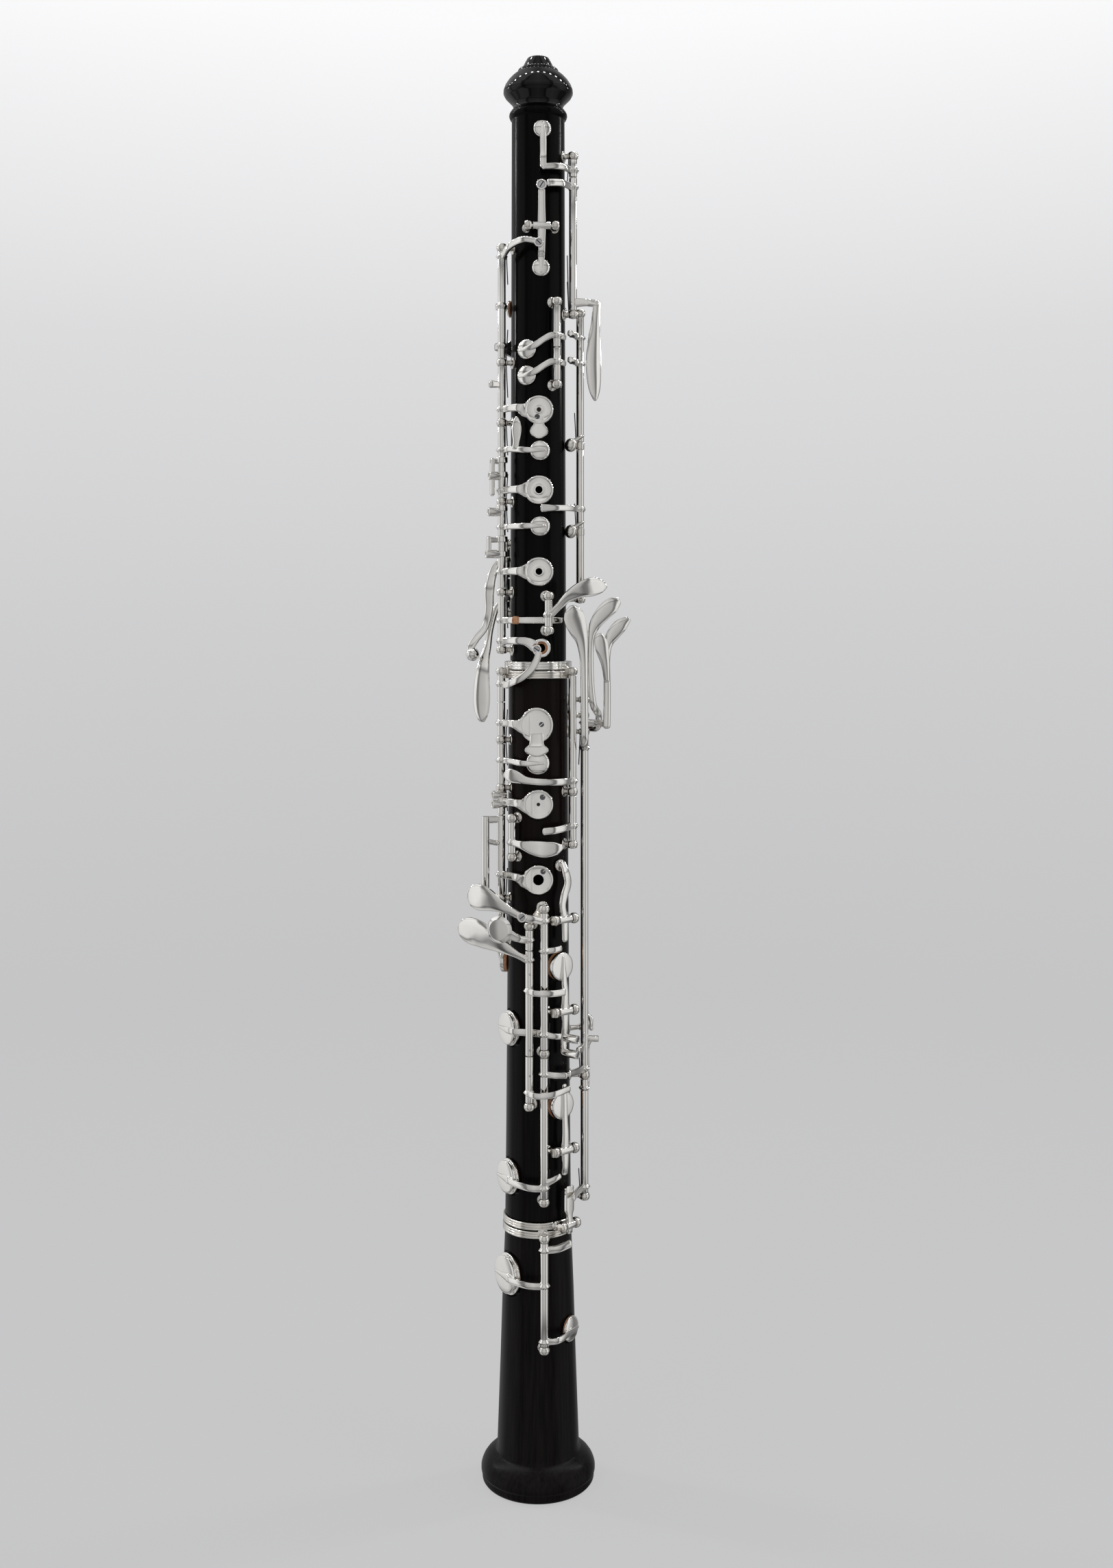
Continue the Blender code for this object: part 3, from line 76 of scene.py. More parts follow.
# ---- driving dimensions ----
TOTAL_Z = 595.0  # top of the reed socket
JOINT_Z = 338.5  # where the upper and lower joints meet
BELL_Z = 107.9  # where the lower joint and the bell meet
SPLIT = 0.15  # half the gap between two joints' faces
FIT = 0.3  # gap kept between pieces that touch
TENON_DEPTH = 19.0
TUBE_R = 1.65  # hinge tube
TUBE_BORE = 0.95
ROD_R = 0.75  # steel rod in it
ROD_END = 1.75  # how far the rod reaches past its last post's centre
BALL_R = 2.25  # ball of a post
BALL_FLAT = 1.5  # half the ball's length between its flats
FACE = BALL_FLAT + 0.25  # from a post's centre to the end of a tube
SUNK_FROM = 4.5  # cups larger than this sit over a seat cut into the wood

# Rod axes as (x, y), named for what they carry.
STACK_U = (-15.1, -5.8)
OCTAVE_U = (14.6, -5.0)
SIDE_U = (17.6, 0.0)
TRILL_U = (7.8, -12.8)
GSHARP_U = (4.4, -15.0)
REAR_U = (-13.5, 9.0)
STACK_L = (-15.3, -6.0)
FORK_L = (14.3, -8.0)
LEAF_L = (-10.6, -12.0)
LONG_L = (19.4, -2.0)
BEHIND_L = (19.4, 6.5)
RIGHT_L = (2.6, -17.2)
LEFT_L = (-3.4, -17.2)
BELL_ROD = (2.7, -18.4)

# Outer outline of each wooden joint, as (radius, z) from the bottom up.
UPPER_OUTLINE = [
    (11.0, JOINT_Z + SPLIT), (11.0, 342.4), (11.7, 342.4), (11.7, 360.0), (11.4, 450.0), (11.1, 568.8),
    (11.7, 569.2), (12.2, 570.4), (12.1, 571.4), (11.4, 572.6), (10.6, 573.3), (10.4, 574.4), (10.9, 575.6),
    (12.3, 577.1), (13.8, 578.6), (14.6, 580.1), (14.5, 581.6), (13.8, 583.5), (12.5, 585.5), (10.8, 587.3),
    (9.3, 588.5), (8.5, 589.0), (8.5, 589.9), (7.7, 590.5), (6.5, 590.8), (6.1, 592.0), (5.4, 593.4),
    (4.5, TOTAL_Z),
]
LOWER_OUTLINE = [
    (12.9, BELL_Z + SPLIT), (12.9, 111.4), (13.8, 111.4), (13.4, 150.0), (13.0, 200.0), (12.7, 250.0),
    (12.5, 300.0), (12.4, 334.8), (11.3, 334.8), (11.3, JOINT_Z - SPLIT),
]
BELL_OUTLINE = [
    (22.7, 0.0), (23.3, 0.8), (23.4, 2.2), (23.4, 3.4), (23.8, 3.9), (23.8, 5.6), (23.5, 6.7), (22.9, 8.1),
    (21.9, 9.5), (20.5, 10.8), (18.8, 11.8), (17.6, 12.6), (17.1, 14.6), (15.8, 51.0), (14.9, 80.0),
    (13.9, 104.4), (12.6, 104.4), (12.6, BELL_Z - SPLIT),
]
# Bore of each joint, as (radius, z) from the bottom up.
UPPER_BORE = [(4.3, JOINT_Z - TENON_DEPTH), (2.3, 576.0), (3.45, 576.0), (3.45, TOTAL_Z)]
LOWER_BORE = [(7.7, BELL_Z - TENON_DEPTH), (4.6, 318.6), (9.0, 318.6), (9.0, JOINT_Z - SPLIT)]
BELL_BORE = [
    (18.7, 0.0), (17.6, 6.0), (13.4, 36.0), (10.0, 66.0), (8.2, 86.0), (10.9, 86.0), (10.9, BELL_Z - SPLIT),
]

# Tone holes, named for their keys: (angle, z, cup radius, hole radius, how far the cup stands open, and the
# cup's height).
TONE_HOLES = {
    "top_trill_key": (9, 562.2, 3.7, 1.2, 0.0, 1.9),
    "octave_rocker": (6, 504.8, 3.7, 1.0, 0.0, 1.9),
    "thumb_octave_key": (-104, 490.4, 3.6, 0.9, 0.0, 1.9),
    "d_trill_key": (-22, 471.2, 4.1, 1.9, 0.0, 1.9),
    "c_sharp_trill_key": (-22, 460.4, 4.1, 1.9, 0.0, 1.9),
    "half_hole_key": (2, 446.0, 6.0, 1.6, 0.7, 1.9),
    "c_vent_key": (4, 429.2, 4.1, 2.2, 0.7, 1.9),
    "a_key": (2, 413.0, 6.0, 2.4, 0.7, 1.9),
    "b_flat_key": (4, 398.0, 4.1, 2.3, 0.7, 1.9),
    "g_key": (2, 379.3, 6.0, 2.5, 0.7, 1.9),
    "low_g_key": (6, 347.8, 3.9, 1.9, 0.7, 1.5),
    "f_sharp_key": (-2, 316.0, 6.8, 2.8, 0.7, 1.9),
    "f_vent_key": (0, 300.4, 4.8, 2.6, 0.7, 1.9),
    "e_key": (1, 283.4, 6.1, 2.9, 0.7, 1.9),
    "d_key": (1, 252.4, 6.1, 3.0, 0.7, 1.9),
    "d_sharp_key": (-104, 216.0, 5.0, 2.6, 1.0, 2.2),
    "f_resonance_key": (43, 257.8, 2.6, 1.3, 0.0, 1.6),
    "low_c_key": (-59, 189.8, 7.3, 3.6, 1.4, 2.3),
    "e_flat_cup_key": (41, 216.2, 5.8, 3.2, 1.4, 2.2),
    "c_sharp_cup_key": (41, 159.0, 5.8, 3.4, 1.4, 2.2),
    "low_b_key": (-58, 128.4, 7.3, 3.9, 1.4, 2.3),
    "bell_key": (-56, 88.2, 8.5, 4.3, 1.4, 2.3),
    "bell_vent": (57, 65.6, 5.2, 2.2, 0.6, 1.9),
}


def polar(angle, radius):
    """The x and y at an angle from the front and a distance from the bore's axis."""
    a = math.radians(angle)
    return radius * math.sin(a), -radius * math.cos(a)


def outward(x, y):
    return Vector((x, y, 0)).normalized()


def surface(z):
    """The wood's outer radius at a height."""
    outline = BELL_OUTLINE[:-2] if z < BELL_Z else LOWER_OUTLINE[2:-2] if z < JOINT_Z else UPPER_OUTLINE[2:]
    for (r0, z0), (r1, z1) in zip(outline, outline[1:]):
        if z0 <= z <= z1 and z1 > z0:
            return r0 + (r1 - r0) * (z - z0) / (z1 - z0)
    return outline[0][0] if z < outline[0][1] else outline[-1][0]


def seat_level(z, cup_radius):
    """Distance from the bore's axis to the flat seat that is sunk into the wood under a cup."""
    wood = surface(z)
    return math.sqrt(wood**2 - (0.75 * min(cup_radius, wood * 0.7)) ** 2)


# ---- materials ----
class Tree:
    """The nodes of a material or of the room, made so that one call's output is the next call's input."""

    def __init__(self, owner):
        owner.use_nodes = True
        self.nodes, self.links = owner.node_tree.nodes, owner.node_tree.links

    def fill(self, node, inputs):
        for name, value in inputs.items():
            if isinstance(value, bpy.types.NodeSocket):
                self.links.new(value, node.inputs[name])
            else:
                node.inputs[name].default_value = value

    def add(self, kind, output, inputs, **settings):
        """A new node's output."""
        made = self.nodes.new(f"ShaderNode{kind}")
        for name, value in settings.items():
            setattr(made, name, value)
        self.fill(made, inputs)
        return made.outputs[output]

    def maths(self, operation, *values):
        return self.add("Math", "Value", dict(enumerate(values)), operation=operation)

    def part(self, axis, space="Object"):
        """One coordinate of the shaded point."""
        return self.add("SeparateXYZ", axis, {"Vector": self.add("TexCoord", space, {})})

    def noise(self, scale, detail, stretch=(1, 1, 1), rough=0.5):
        """A noise pattern fixed to the piece, stretched along its axes."""
        place = self.add("Mapping", "Vector", {"Scale": stretch, "Vector": self.add("TexCoord", "Object", {})})
        grain = {"Scale": scale, "Detail": detail, "Roughness": rough}
        return self.add("TexNoise", "Fac", {**grain, "Vector": place})

    def ramp(self, value, stops):
        """Colours or greys against a value."""
        made = self.nodes.new("ShaderNodeValToRGB")
        for i, (at, colour) in enumerate(stops):
            stop = made.color_ramp.elements[i] if i < 2 else made.color_ramp.elements.new(at)
            stop.position = at
            stop.color = (*colour, 1) if isinstance(colour, tuple) else (colour, colour, colour, 1)
        self.fill(made, {"Fac": value})
        return made.outputs["Color"]

    def finish(self, colour, roughness, height, strength, distance, **inputs):
        """The surface itself, bumped by a height."""
        bump = self.add("Bump", "Normal", {"Strength": strength, "Distance": distance, "Height": height})
        self.fill(self.nodes["Principled BSDF"],
                  {"Base Color": colour, "Roughness": roughness, "Normal": bump, **inputs})


def metal(name, light, dark, roughness, scratch):
    """Polished metal: slow changes of tone, fine polishing marks, and a soft unevenness of the surface."""
    made = bpy.data.materials.new(name)
    tree = Tree(made)
    fine = tree.noise(420, 4, (1, 1, 0.25), 0.6)
    tone = tree.ramp(tree.noise(90, 3), [(0.32, dark), (0.62, light)])
    dull = tree.ramp(fine, [(0.35, roughness[0]), (0.7, roughness[1])])
    tree.finish(tone, dull, fine, scratch, 0.00004, Metallic=1.0)
    return made


def wood(name, roughness, brown=None, gloss_above=None, painted_sheen=1.0):
    """Grenadilla: nearly black, with fine dark-brown grain along the bore and an oiled polish. Its base colour
    can be lifted as a painted sheen.
    """
    made = bpy.data.materials.new(name)
    tree = Tree(made)
    grain = tree.noise(900, 5, (1, 1, 0.035), 0.65)
    # Lifting the base colour of pores and fibres paints a sheen: lighter copies of the same wood.
    pores, fibres = [tuple(painted_sheen * part for part in tone)
                     for tone in ((0.0008, 0.0007, 0.0008), (0.0030, 0.0024, 0.0023))]
    colour = tree.ramp(grain, [(0.3, pores), (0.72, fibres)])
    if brown:
        low, high, tint = brown
        rise = {"From Min": low, "From Max": high, "Value": tree.part("Z")}
        spread = tree.add("MapRange", "Result", rise, interpolation_type="SMOOTHSTEP")
        cloud = tree.ramp(tree.noise(60, 3, (1, 1, 0.12)), [(0.3, 0.35), (0.65, 1.0)])
        patch = tree.maths("MULTIPLY", spread, cloud)
        colour = tree.add("Mix", "Result", {"Factor": patch, "A": colour, "B": (*tint, 1)}, data_type="RGBA")
    dull = tree.ramp(grain, [(0.3, roughness[0]), (0.75, roughness[1])])
    shine = OILED
    if gloss_above:
        above = tree.maths("GREATER_THAN", tree.part("Z"), gloss_above)
        dull = tree.add("Mix", "Result", {"Factor": above, "A": dull, "B": 0.045})
        shine = tree.add("MapRange", "Result", {"To Min": OILED, "To Max": POLISHED, "Value": above})
    tree.finish(colour, dull, grain, 0.03, 0.00001, **{"Specular IOR Level": shine})
    return made


def soft_stuff(name, light, dark, scale, roughness):
    """Cork, the skin and felt of a pad, or a near-black stuff that also paints the shade in slots and holes."""
    made = bpy.data.materials.new(name)
    tree = Tree(made)
    speck = tree.noise(scale, 5, (1, 1, 1), 0.7)
    tree.finish(tree.ramp(speck, [(0.38, dark), (0.6, light)]), roughness, speck, 0.4, 0.0001)
    return made


OILED, POLISHED = 0.07, 0.30  # reflection of the joints, and of the turned knob
SILVER = metal("silver_plate", (0.90, 0.885, 0.855), (0.85, 0.835, 0.805), (0.045, 0.10), 0.04)
NICKEL = metal("nickel_silver", (0.82, 0.795, 0.75), (0.71, 0.685, 0.645), (0.08, 0.16), 0.06)
STEEL = metal("bright_steel", (0.60, 0.60, 0.61), (0.44, 0.44, 0.46), (0.22, 0.36), 0.15)
BLUED = metal("blued_steel", (0.07, 0.07, 0.08), (0.04, 0.04, 0.05), (0.30, 0.42), 0.1)
DARK = metal("dark_screw", (0.16, 0.16, 0.17), (0.10, 0.10, 0.11), (0.34, 0.46), 0.1)
UPPER_WOOD = wood("grenadilla_upper", (0.16, 0.26), gloss_above=0.5735)
# The lower joint and the bell are the same wood with its base colour lifted 2.4 and 3.4 times, a painted sheen.
LOWER_WOOD = wood("grenadilla_lower", (0.20, 0.32), (0.205, 0.300, (0.0075, 0.0040, 0.0034)), painted_sheen=2.4)
BELL_WOOD = wood("grenadilla_bell", (0.26, 0.33), painted_sheen=3.4)
CORK = soft_stuff("cork", (0.52, 0.28, 0.15), (0.26, 0.12, 0.06), 900, 0.85)
# Small pieces of a key, with what each kind is made of; the near-black fills in screw slots and cup
# perforations are painted shade.
SMALL = {
    "pads": soft_stuff("skin_pad", (0.50, 0.25, 0.13), (0.34, 0.15, 0.07), 700, 0.6),
    "dots": DARK,
    "corks": CORK,
    "screws": STEEL,
    "painted_shade_and_dark_discs": soft_stuff("painted_shade_and_dark_disc", (0.012, 0.011, 0.011), (0.004, 0.004, 0.004), 500, 0.5),
}


# ---- shapes: each function returns one that adds its faces to a mesh, in millimetres ----
def circle(bm, radius, height, segments, matrix):
    """A row of points round an axis, or its one point repeated where the radius is 0."""
    if radius < 1e-6:
        return [bm.verts.new(matrix @ Vector((0, 0, height)))] * segments
    turns = [2 * math.pi * k / segments for k in range(segments)]
    return [bm.verts.new(matrix @ Vector((radius * math.cos(t), radius * math.sin(t), height))) for t in turns]


def skin(bm, rows, step=1):
    """Faces between each row of points and the next."""
    for low, high in zip(rows, rows[1:]):
        for k in range(len(low)):
            n = (k + step) % len(low)
            corners = list(dict.fromkeys((low[k], low[n], high[n], high[k])))
            if len(corners) > 2:
                bm.faces.new(corners)


def capped_skin(bm, rows):
    skin(bm, rows, -1)
    bm.faces.new(rows[0])
    bm.faces.new(rows[-1][::-1])


def rounded(profile, soft, closed):
    """The profile with its corners rounded."""
    out = []
    for i, corner in enumerate(profile):
        here = Vector(corner)
        back = Vector(profile[i - 1]) - here
        ahead = Vector(profile[(i + 1) % len(profile)]) - here
        end = not closed and i in (0, len(profile) - 1)
        if not end and (back.length < 1e-6 or ahead.length < 1e-6):
            continue
        turn = 0 if end else math.pi - back.angle(ahead)
        if turn < 0.25:
            out.append(corner)
            continue
        cut = min(soft, back.length * 0.45, ahead.length * 0.45)
        a = here + back.normalized() * cut
        b = here + ahead.normalized() * cut
        steps = 2 if turn < 0.9 else 3
        for k in range(steps + 1):
            t = k / steps
            point = a * (1 - t) ** 2 + here * 2 * t * (1 - t) + b * t**2
            out.append((max(point.x, 0.0), point.y))
    return out


def turned(profile, segments=48, at=(0, 0, 0), axis=UP, soft=0.14):
    """A profile of (radius, height) turned about the axis through a point. Radii above 0 make a closed loop."""
    closed = profile[0][0] > 0
    points = rounded(profile, soft, closed)
    matrix = Matrix.Translation(Vector(at)) @ Vector(axis).to_track_quat("Z", "Y").to_matrix().to_4x4()

    def add(bm):
        rows = [circle(bm, r, h, segments, matrix) for r, h in points]
        skin(bm, [*rows, rows[0]] if closed else rows)

    return add


def hoop(inner, outer, low, high, segments, at=(0, 0, 0), axis=UP, soft=0.12):
    """A turned ring of square section."""
    return turned([(inner, low), (outer, low), (outer, high), (inner, high)], segments, at, axis, soft)


def cylinder(radius, at, axis, length, segments=32, soft=0.18):
    """A cylinder with softened rims, that starts at a point and runs along an axis."""
    return hoop(0, radius, 0, length, segments, at, axis, soft)


def stretched(shape, z, factor):
    """A shape pulled along the bore about a height."""
    def add(bm):
        before = len(bm.verts)
        shape(bm)
        for vert in list(bm.verts)[before:]:
            vert.co.z = z + (vert.co.z - z) * factor

    return add


def spline(values, i, t):
    """A Catmull-Rom point between two of the values."""
    a, b = values[max(i - 1, 0)], values[i]
    c, d = values[i + 1], values[min(i + 2, len(values) - 1)]
    return (b * 2 + (c - a) * t + (a * 2 - b * 5 + c * 4 - d) * t**2 + (b * 3 - a - c * 3 + d) * t**3) * 0.5


def sweep(points, sizes, facing=None, sides=16, square=2.7, step=0.9):
    """A bar on a smooth path, with (half width, half thickness) at each point. It is flat to the facing
    direction, or to the bore where none is given."""
    path = [Vector(p) for p in points]
    halves = [Vector(s) for s in sizes]
    line, size = [], []
    for i in range(len(path) - 1):
        count = max(2, min(14, round((path[i + 1] - path[i]).length / step)))
        for k in range(count):
            line.append(spline(path, i, k / count))
            size.append(spline(halves, i, k / count))
    line.append(path[-1])
    size.append(halves[-1])

    def level(point):
        return Vector(facing).normalized() if facing else outward(point.x, point.y)

    def add(bm):
        out, last = level(line[0]), len(line) - 1
        frames = []
        for i, point in enumerate(line):
            along = (line[min(i + 1, last)] - line[max(i - 1, 0)]).normalized()
            flat = level(point) - along * level(point).dot(along)
            if flat.length < 0.25:
                flat = out - along * out.dot(along)
            out = flat.normalized()
            frames.append((point, along, out, max(size[i].x, 0.12), max(size[i].y, 0.12)))

        def row(frame_at, scale=1.0, shift=0.0):
            """The bar's section, scaled and moved along the bar to round its end."""
            point, along, up, wide, thick = frame_at
            across, shift = along.cross(up), shift * (min(wide, thick) * 0.8)
            verts = []
            for k in range(sides):
                t = 2 * math.pi * (k + 0.5) / sides
                c, s = math.cos(t), math.sin(t)
                u = math.copysign(abs(c) ** (2 / square), c) * wide * scale
                v = math.copysign(abs(s) ** (2 / square), s) * thick * scale
                verts.append(bm.verts.new(point + along * shift + across * u + up * v))
            return verts

        capped_skin(bm, [row(frames[0], 0.45, -1), row(frames[0], 0.82, -0.6), *[row(f) for f in frames],
                         row(frames[-1], 0.82, 0.6), row(frames[-1], 0.45, 1)])

    return add


def slotted(radius, at, axis, height, angle=0.6, slot=0.42, depth=0.42):
    """A screw head with a straight slot: a bevelled disc whose top is in two halves."""
    aim = Vector(axis).to_track_quat("Z", "Y").to_matrix().to_4x4() @ Matrix.Rotation(angle, 4, "Z")
    matrix = Matrix.Translation(Vector(at)) @ aim
    body = cylinder(radius, at, axis, height - depth, soft=0.08)
    half = slot / 2
    start = math.asin(min(half / radius, 0.9))
    arc = [start + (math.pi - 2 * start) * k / 14 for k in range(15)]

    def add(bm):
        body(bm)
        for side in (1, -1):
            rows = []
            for level, r in ((height - depth - 0.02, radius), (height - 0.1, radius), (height, radius - 0.12)):
                spots = [(r * math.cos(t), side * max(r * math.sin(t), half), level) for t in arc]
                rows.append([bm.verts.new(matrix @ Vector(spot)) for spot in spots])
            capped_skin(bm, rows)

    return add


# ---- pieces ----
def mesh_of(name, shapes):
    """The shapes in one mesh, in metres."""
    mesh = bpy.data.meshes.new(name)
    bm = bmesh.new()
    for shape in shapes:
        shape(bm)
    bmesh.ops.recalc_face_normals(bm, faces=bm.faces)
    bmesh.ops.scale(bm, vec=(MM, MM, MM), verts=bm.verts)
    bm.to_mesh(mesh)
    bm.free()
    return mesh


def placed(name, data):
    made = bpy.data.objects.new(name, data)
    bpy.context.scene.collection.objects.link(made)
    return made


def shown(name, mesh, material, node, slot=None, crease=34):
    """A piece that rides where the CAD node rides, and replaces it if it has a finish of its own."""
    made = placed(name, mesh)
    mesh.shade_smooth()
    mesh.set_sharp_from_angle(angle=math.radians(crease))
    mesh.materials.clear()
    mesh.materials.append(material)
    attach(made, body_of(frame["nodes"][node])[0])
    if slot:
        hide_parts(node)
    return made


def piece(name, shapes, material, node, slot=None):
    return shown(name, mesh_of(name, shapes), material, node, slot)


def silver(name, shapes):
    return piece(f"{name}_looks", shapes, SILVER, name, "silver_plate")


def nickel(name, shapes):
    return piece(f"{name}_looks", shapes, NICKEL, name, "nickel_silver")


# ---- the wooden joints ----
def wooden_joint(name, outline, bore, material, tenon_r=None):
    """A joint turned from its outline and bore, with a sunk seat and a hole under each cup."""
    tenon = [(tenon_r, bore[0][1]), (tenon_r, outline[0][1])] if tenon_r else []
    base = placed("blank", mesh_of(name, [turned([*reversed([*tenon, *outline]), *bore], 96, soft=0.3)]))
    cutters = []
    for angle, z, cup_radius, hole_radius, _, _ in TONE_HOLES.values():
        if not outline[0][1] < z < outline[-1][1]:
            continue
        direction = (*polar(angle, 1.0), 0)
        cuts = [cylinder(hole_radius, (0, 0, z), direction, surface(z) + 4, soft=0.01)]
        if cup_radius > SUNK_FROM:
            seat = (*polar(angle, seat_level(z, cup_radius)), z)
            cuts.append(cylinder(cup_radius + 0.7, seat, direction, 8, 56, 0.01))
        for cut in cuts:
            cutters.append(placed("cut", mesh_of("cut", [cut])))
            step = base.modifiers.new("cut", "BOOLEAN")
            step.operation, step.solver, step.object = "DIFFERENCE", "EXACT", cutters[-1]
    bpy.context.view_layer.update()
    result = bpy.data.meshes.new_from_object(base.evaluated_get(bpy.context.evaluated_depsgraph_get()))
    for used in [base, *cutters]:
        bpy.data.objects.remove(used)
    made = shown(f"{name}_looks", result, material, name, "blackwood", 30)
    made.modifiers.new("even_shading", "WEIGHTED_NORMAL").keep_sharp = True


def tenon_cork(node, radius, low, high):
    """The cork band round a tenon, seen when the joints are pulled apart."""
    piece(f"{node}_tenon_cork", [hoop(radius - 0.3, radius + 0.25, low, high, 64, soft=0.3)], CORK, node)


def ring(inner, outer, low, high):
    """A tenon ring with a rounded outside and two fine grooves round it."""
    profile = [(inner, high), (outer - 0.35, high), (outer, high - 0.3)]
    for z in (high + (low - high) / 3, low + (high - low) / 3):
        profile += [(outer, z + 0.22), (outer - 0.3, z), (outer, z - 0.22)]
    profile += [(outer, low + 0.3), (outer - 0.35, low), (inner, low)]
    return turned(profile, 96, soft=0.12)


def woodwork():
    wooden_joint("upper_joint", UPPER_OUTLINE, UPPER_BORE, UPPER_WOOD, 8.6)
    tenon_cork("upper_joint", 8.6, 322.0, 335.5)
    silver("upper_joint_ring", [ring(11.25, 14.1, JOINT_Z + SPLIT + 0.05, 342.15)])
    wooden_joint("lower_joint", LOWER_OUTLINE, LOWER_BORE, LOWER_WOOD, 10.5)
    tenon_cork("lower_joint", 10.5, 91.5, 105.0)
    wooden_joint("bell", BELL_OUTLINE, BELL_BORE, BELL_WOOD)


# ---- rods and posts ----
def ball(at, axis, half=BALL_FLAT, radius=BALL_R):
    """The ball of a post, with a flat on each side where a tube ends."""
    limit = math.asin(half / radius)
    arc = [limit - 2 * limit * k / 14 for k in range(15)]
    profile = [(0, half), *[(radius * math.cos(t), radius * math.sin(t)) for t in arc], (0, -half)]
    return turned(profile, 32, at, axis, 0.05)


def stem(foot, out, length):
    """The turned stem of a post: a flared foot, a waist, and a bead under the ball."""
    tall = max(length, 1.6)
    profile = [
        (0, -0.4), (2.35, -0.4), (2.5, 0.1), (2.3, 0.38), (1.6, 0.62), (1.12, 1.0), (0.98, tall * 0.5),
        (0.98, tall - 2.35), (1.35, tall - 2.1), (1.35, tall - 1.75), (1.0, tall - 1.5), (0, tall - 1.4),
    ]
    if tall < 4.2:
        profile = [(0, -0.4), (2.2, -0.4), (2.35, 0.1), (1.9, 0.4), (1.2, 0.7), (1.1, tall - 1.5),
                   (0, tall - 1.3)]
    return turned(profile, 32, foot, out, 0.12)


def rod_on_posts(axis, heights, foot_radius=None):
    """The steel rod between the first and last post, with all its posts."""
    x, y = axis
    out = outward(x, y)
    low, high = min(heights), max(heights)
    parts = [cylinder(ROD_R, (x, y, low - ROD_END), UP, high - low + 2 * ROD_END, 28)]
    for z in heights:
        wood_radius = (foot_radius or {}).get(z) or surface(z)
        foot = (out.x * wood_radius, out.y * wood_radius, z)
        parts += [ball((x, y, z), UP), stem(foot, out, math.hypot(x, y) - wood_radius)]
    return parts


def strap(*posts):
    """A plate on the wood that joins the feet of two posts."""
    ends = []
    for (x, y), z in posts:
        out = outward(x, y) * (surface(z) + FIT + 0.8)
        ends.append((out.x, out.y, z))
    return sweep(ends, [(1.7, 0.5), (1.7, 0.5)])


def cross_frame(angle, radius):
    """Centre and sideways direction of a pivot that lies across the bore at an angle from the front."""
    a = math.radians(angle)
    return polar(angle, radius), Vector((math.cos(a), math.sin(a), 0))


def cross_posts(angle, radius, z, spread, foot_radius=None):
    """Two posts with a pin between them, for a lever that rocks."""
    (x, y), side = cross_frame(angle, radius)
    out = outward(x, y)
    parts = [cylinder(ROD_R, (x - side.x * spread, y - side.y * spread, z), side, 2 * spread, 28)]
    length = radius - math.sqrt((foot_radius or surface(z)) ** 2 - spread**2)
    profile = [(0, -0.5), (1.9, -0.5), (1.9, 0.35), (1.3, 0.7), (1.0, 1.1), (1.0, max(length - 1.6, 1.2)),
               (0, max(length - 1.5, 1.3))]
    for sign in (-1, 1):
        px, py = x + sign * side.x * spread, y + sign * side.y * spread
        foot = (px - out.x * length, py - out.y * length, z)
        parts += [ball((px, py, z), side, 1.4), turned(profile, 28, foot, out, 0.12)]
    return parts


def egg_post(z):
    """A post of the side rod: an egg-shaped ball beside the tube, and the eye that carries the rod."""
    egg = [(0, 2.9), (1.3, 2.6), (2.2, 1.7), (2.55, 0.4), (2.5, -0.8), (1.9, -2.0), (1.0, -2.7), (0, -2.9)]
    hook = [(14.6, -3.2, z + 1.6), (17.4, -2.0, z + 3.2), (19.0, -1.4, z + 4.2)]
    return [
        sweep([(10.8, -1.6, z), (14.0, -2.6, z)], [(1.1, 1.1)] * 2, None, 16, 2.0),
        turned(egg, 40, (13.7, -3.2, z), (0.3, -0.1, 1)),
        sweep(hook, [(0.8, 0.7), (0.9, 0.6), (0.5, 0.4)]),
        cylinder(TUBE_R + 0.15, (*SIDE_U, z - BALL_FLAT), UP, 2 * BALL_FLAT),
    ]


def springs(axis, lean, runs):
    """Needle springs: each is held in a post and leans along the rod to its key's hook."""
    x, y = axis
    made = []
    for post, hook in runs:
        held = (x + lean[0] * 0.75, y + lean[1], post + math.copysign(1.0, hook - post))
        made.append(sweep([held, (x + lean[0], y + lean[1], hook)], [(0.22, 0.22)] * 2, None, 8, 2.0, 2.5))
    return made


def fit(rods, sprung):
    """The pieces of a joint's rods, then their springs."""
    for name, parts in rods.items():
        nickel(name, parts)
    for name, axis, lean, runs in sprung:
        piece(f"{name}_springs", springs(axis, lean, runs), BLUED, name)


def upper_rods():
    # A still tube round the lowest stretch of the side rod.
    sleeve = cylinder(TUBE_R, (*SIDE_U, 368.6), UP, 27.1)
    fit({
        "octave_rod_and_posts": rod_on_posts(OCTAVE_U, (552.7, 486.6)),
        "octave_rocker_posts": cross_posts(6, 15.2, 521.3, 5.7),
        "upper_stack_rod_and_posts": rod_on_posts(STACK_U, (514.3, 466.5, 441.4, 408.7, 370.9, 346.9)),
        "trill_rod_and_posts": rod_on_posts(TRILL_U, (490.7, 456.4)),
        "side_rod_and_posts": [
            *rod_on_posts(SIDE_U, (488.0, 368.0)), sleeve, *egg_post(432.4), *egg_post(396.3)],
        "g_sharp_rod_and_posts": rod_on_posts(GSHARP_U, (369.2, 355.0)),
        "rear_rod_and_posts": rod_on_posts(REAR_U, (392.0, 362.0)),
    }, (
        ("upper_stack_rod_and_posts", STACK_U, (2.5, -0.4), (
            (466.5, 452.0), (441.4, 428.0), (408.7, 396.0), (408.7, 420.0), (370.9, 384.0), (370.9, 356.0),
            (514.3, 499.0), (466.5, 480.0))),
        ("octave_rod_and_posts", OCTAVE_U, (-2.4, -0.6), ((552.7, 540.5), (486.6, 500.0), (486.6, 511.0))),
        ("trill_rod_and_posts", TRILL_U, (-1.9, -1.2), ((490.7, 478.5), (456.4, 467.0))),
        ("side_rod_and_posts", SIDE_U, (-2.3, -1.0), ((432.4, 446.0), (396.3, 408.0))),
    ))


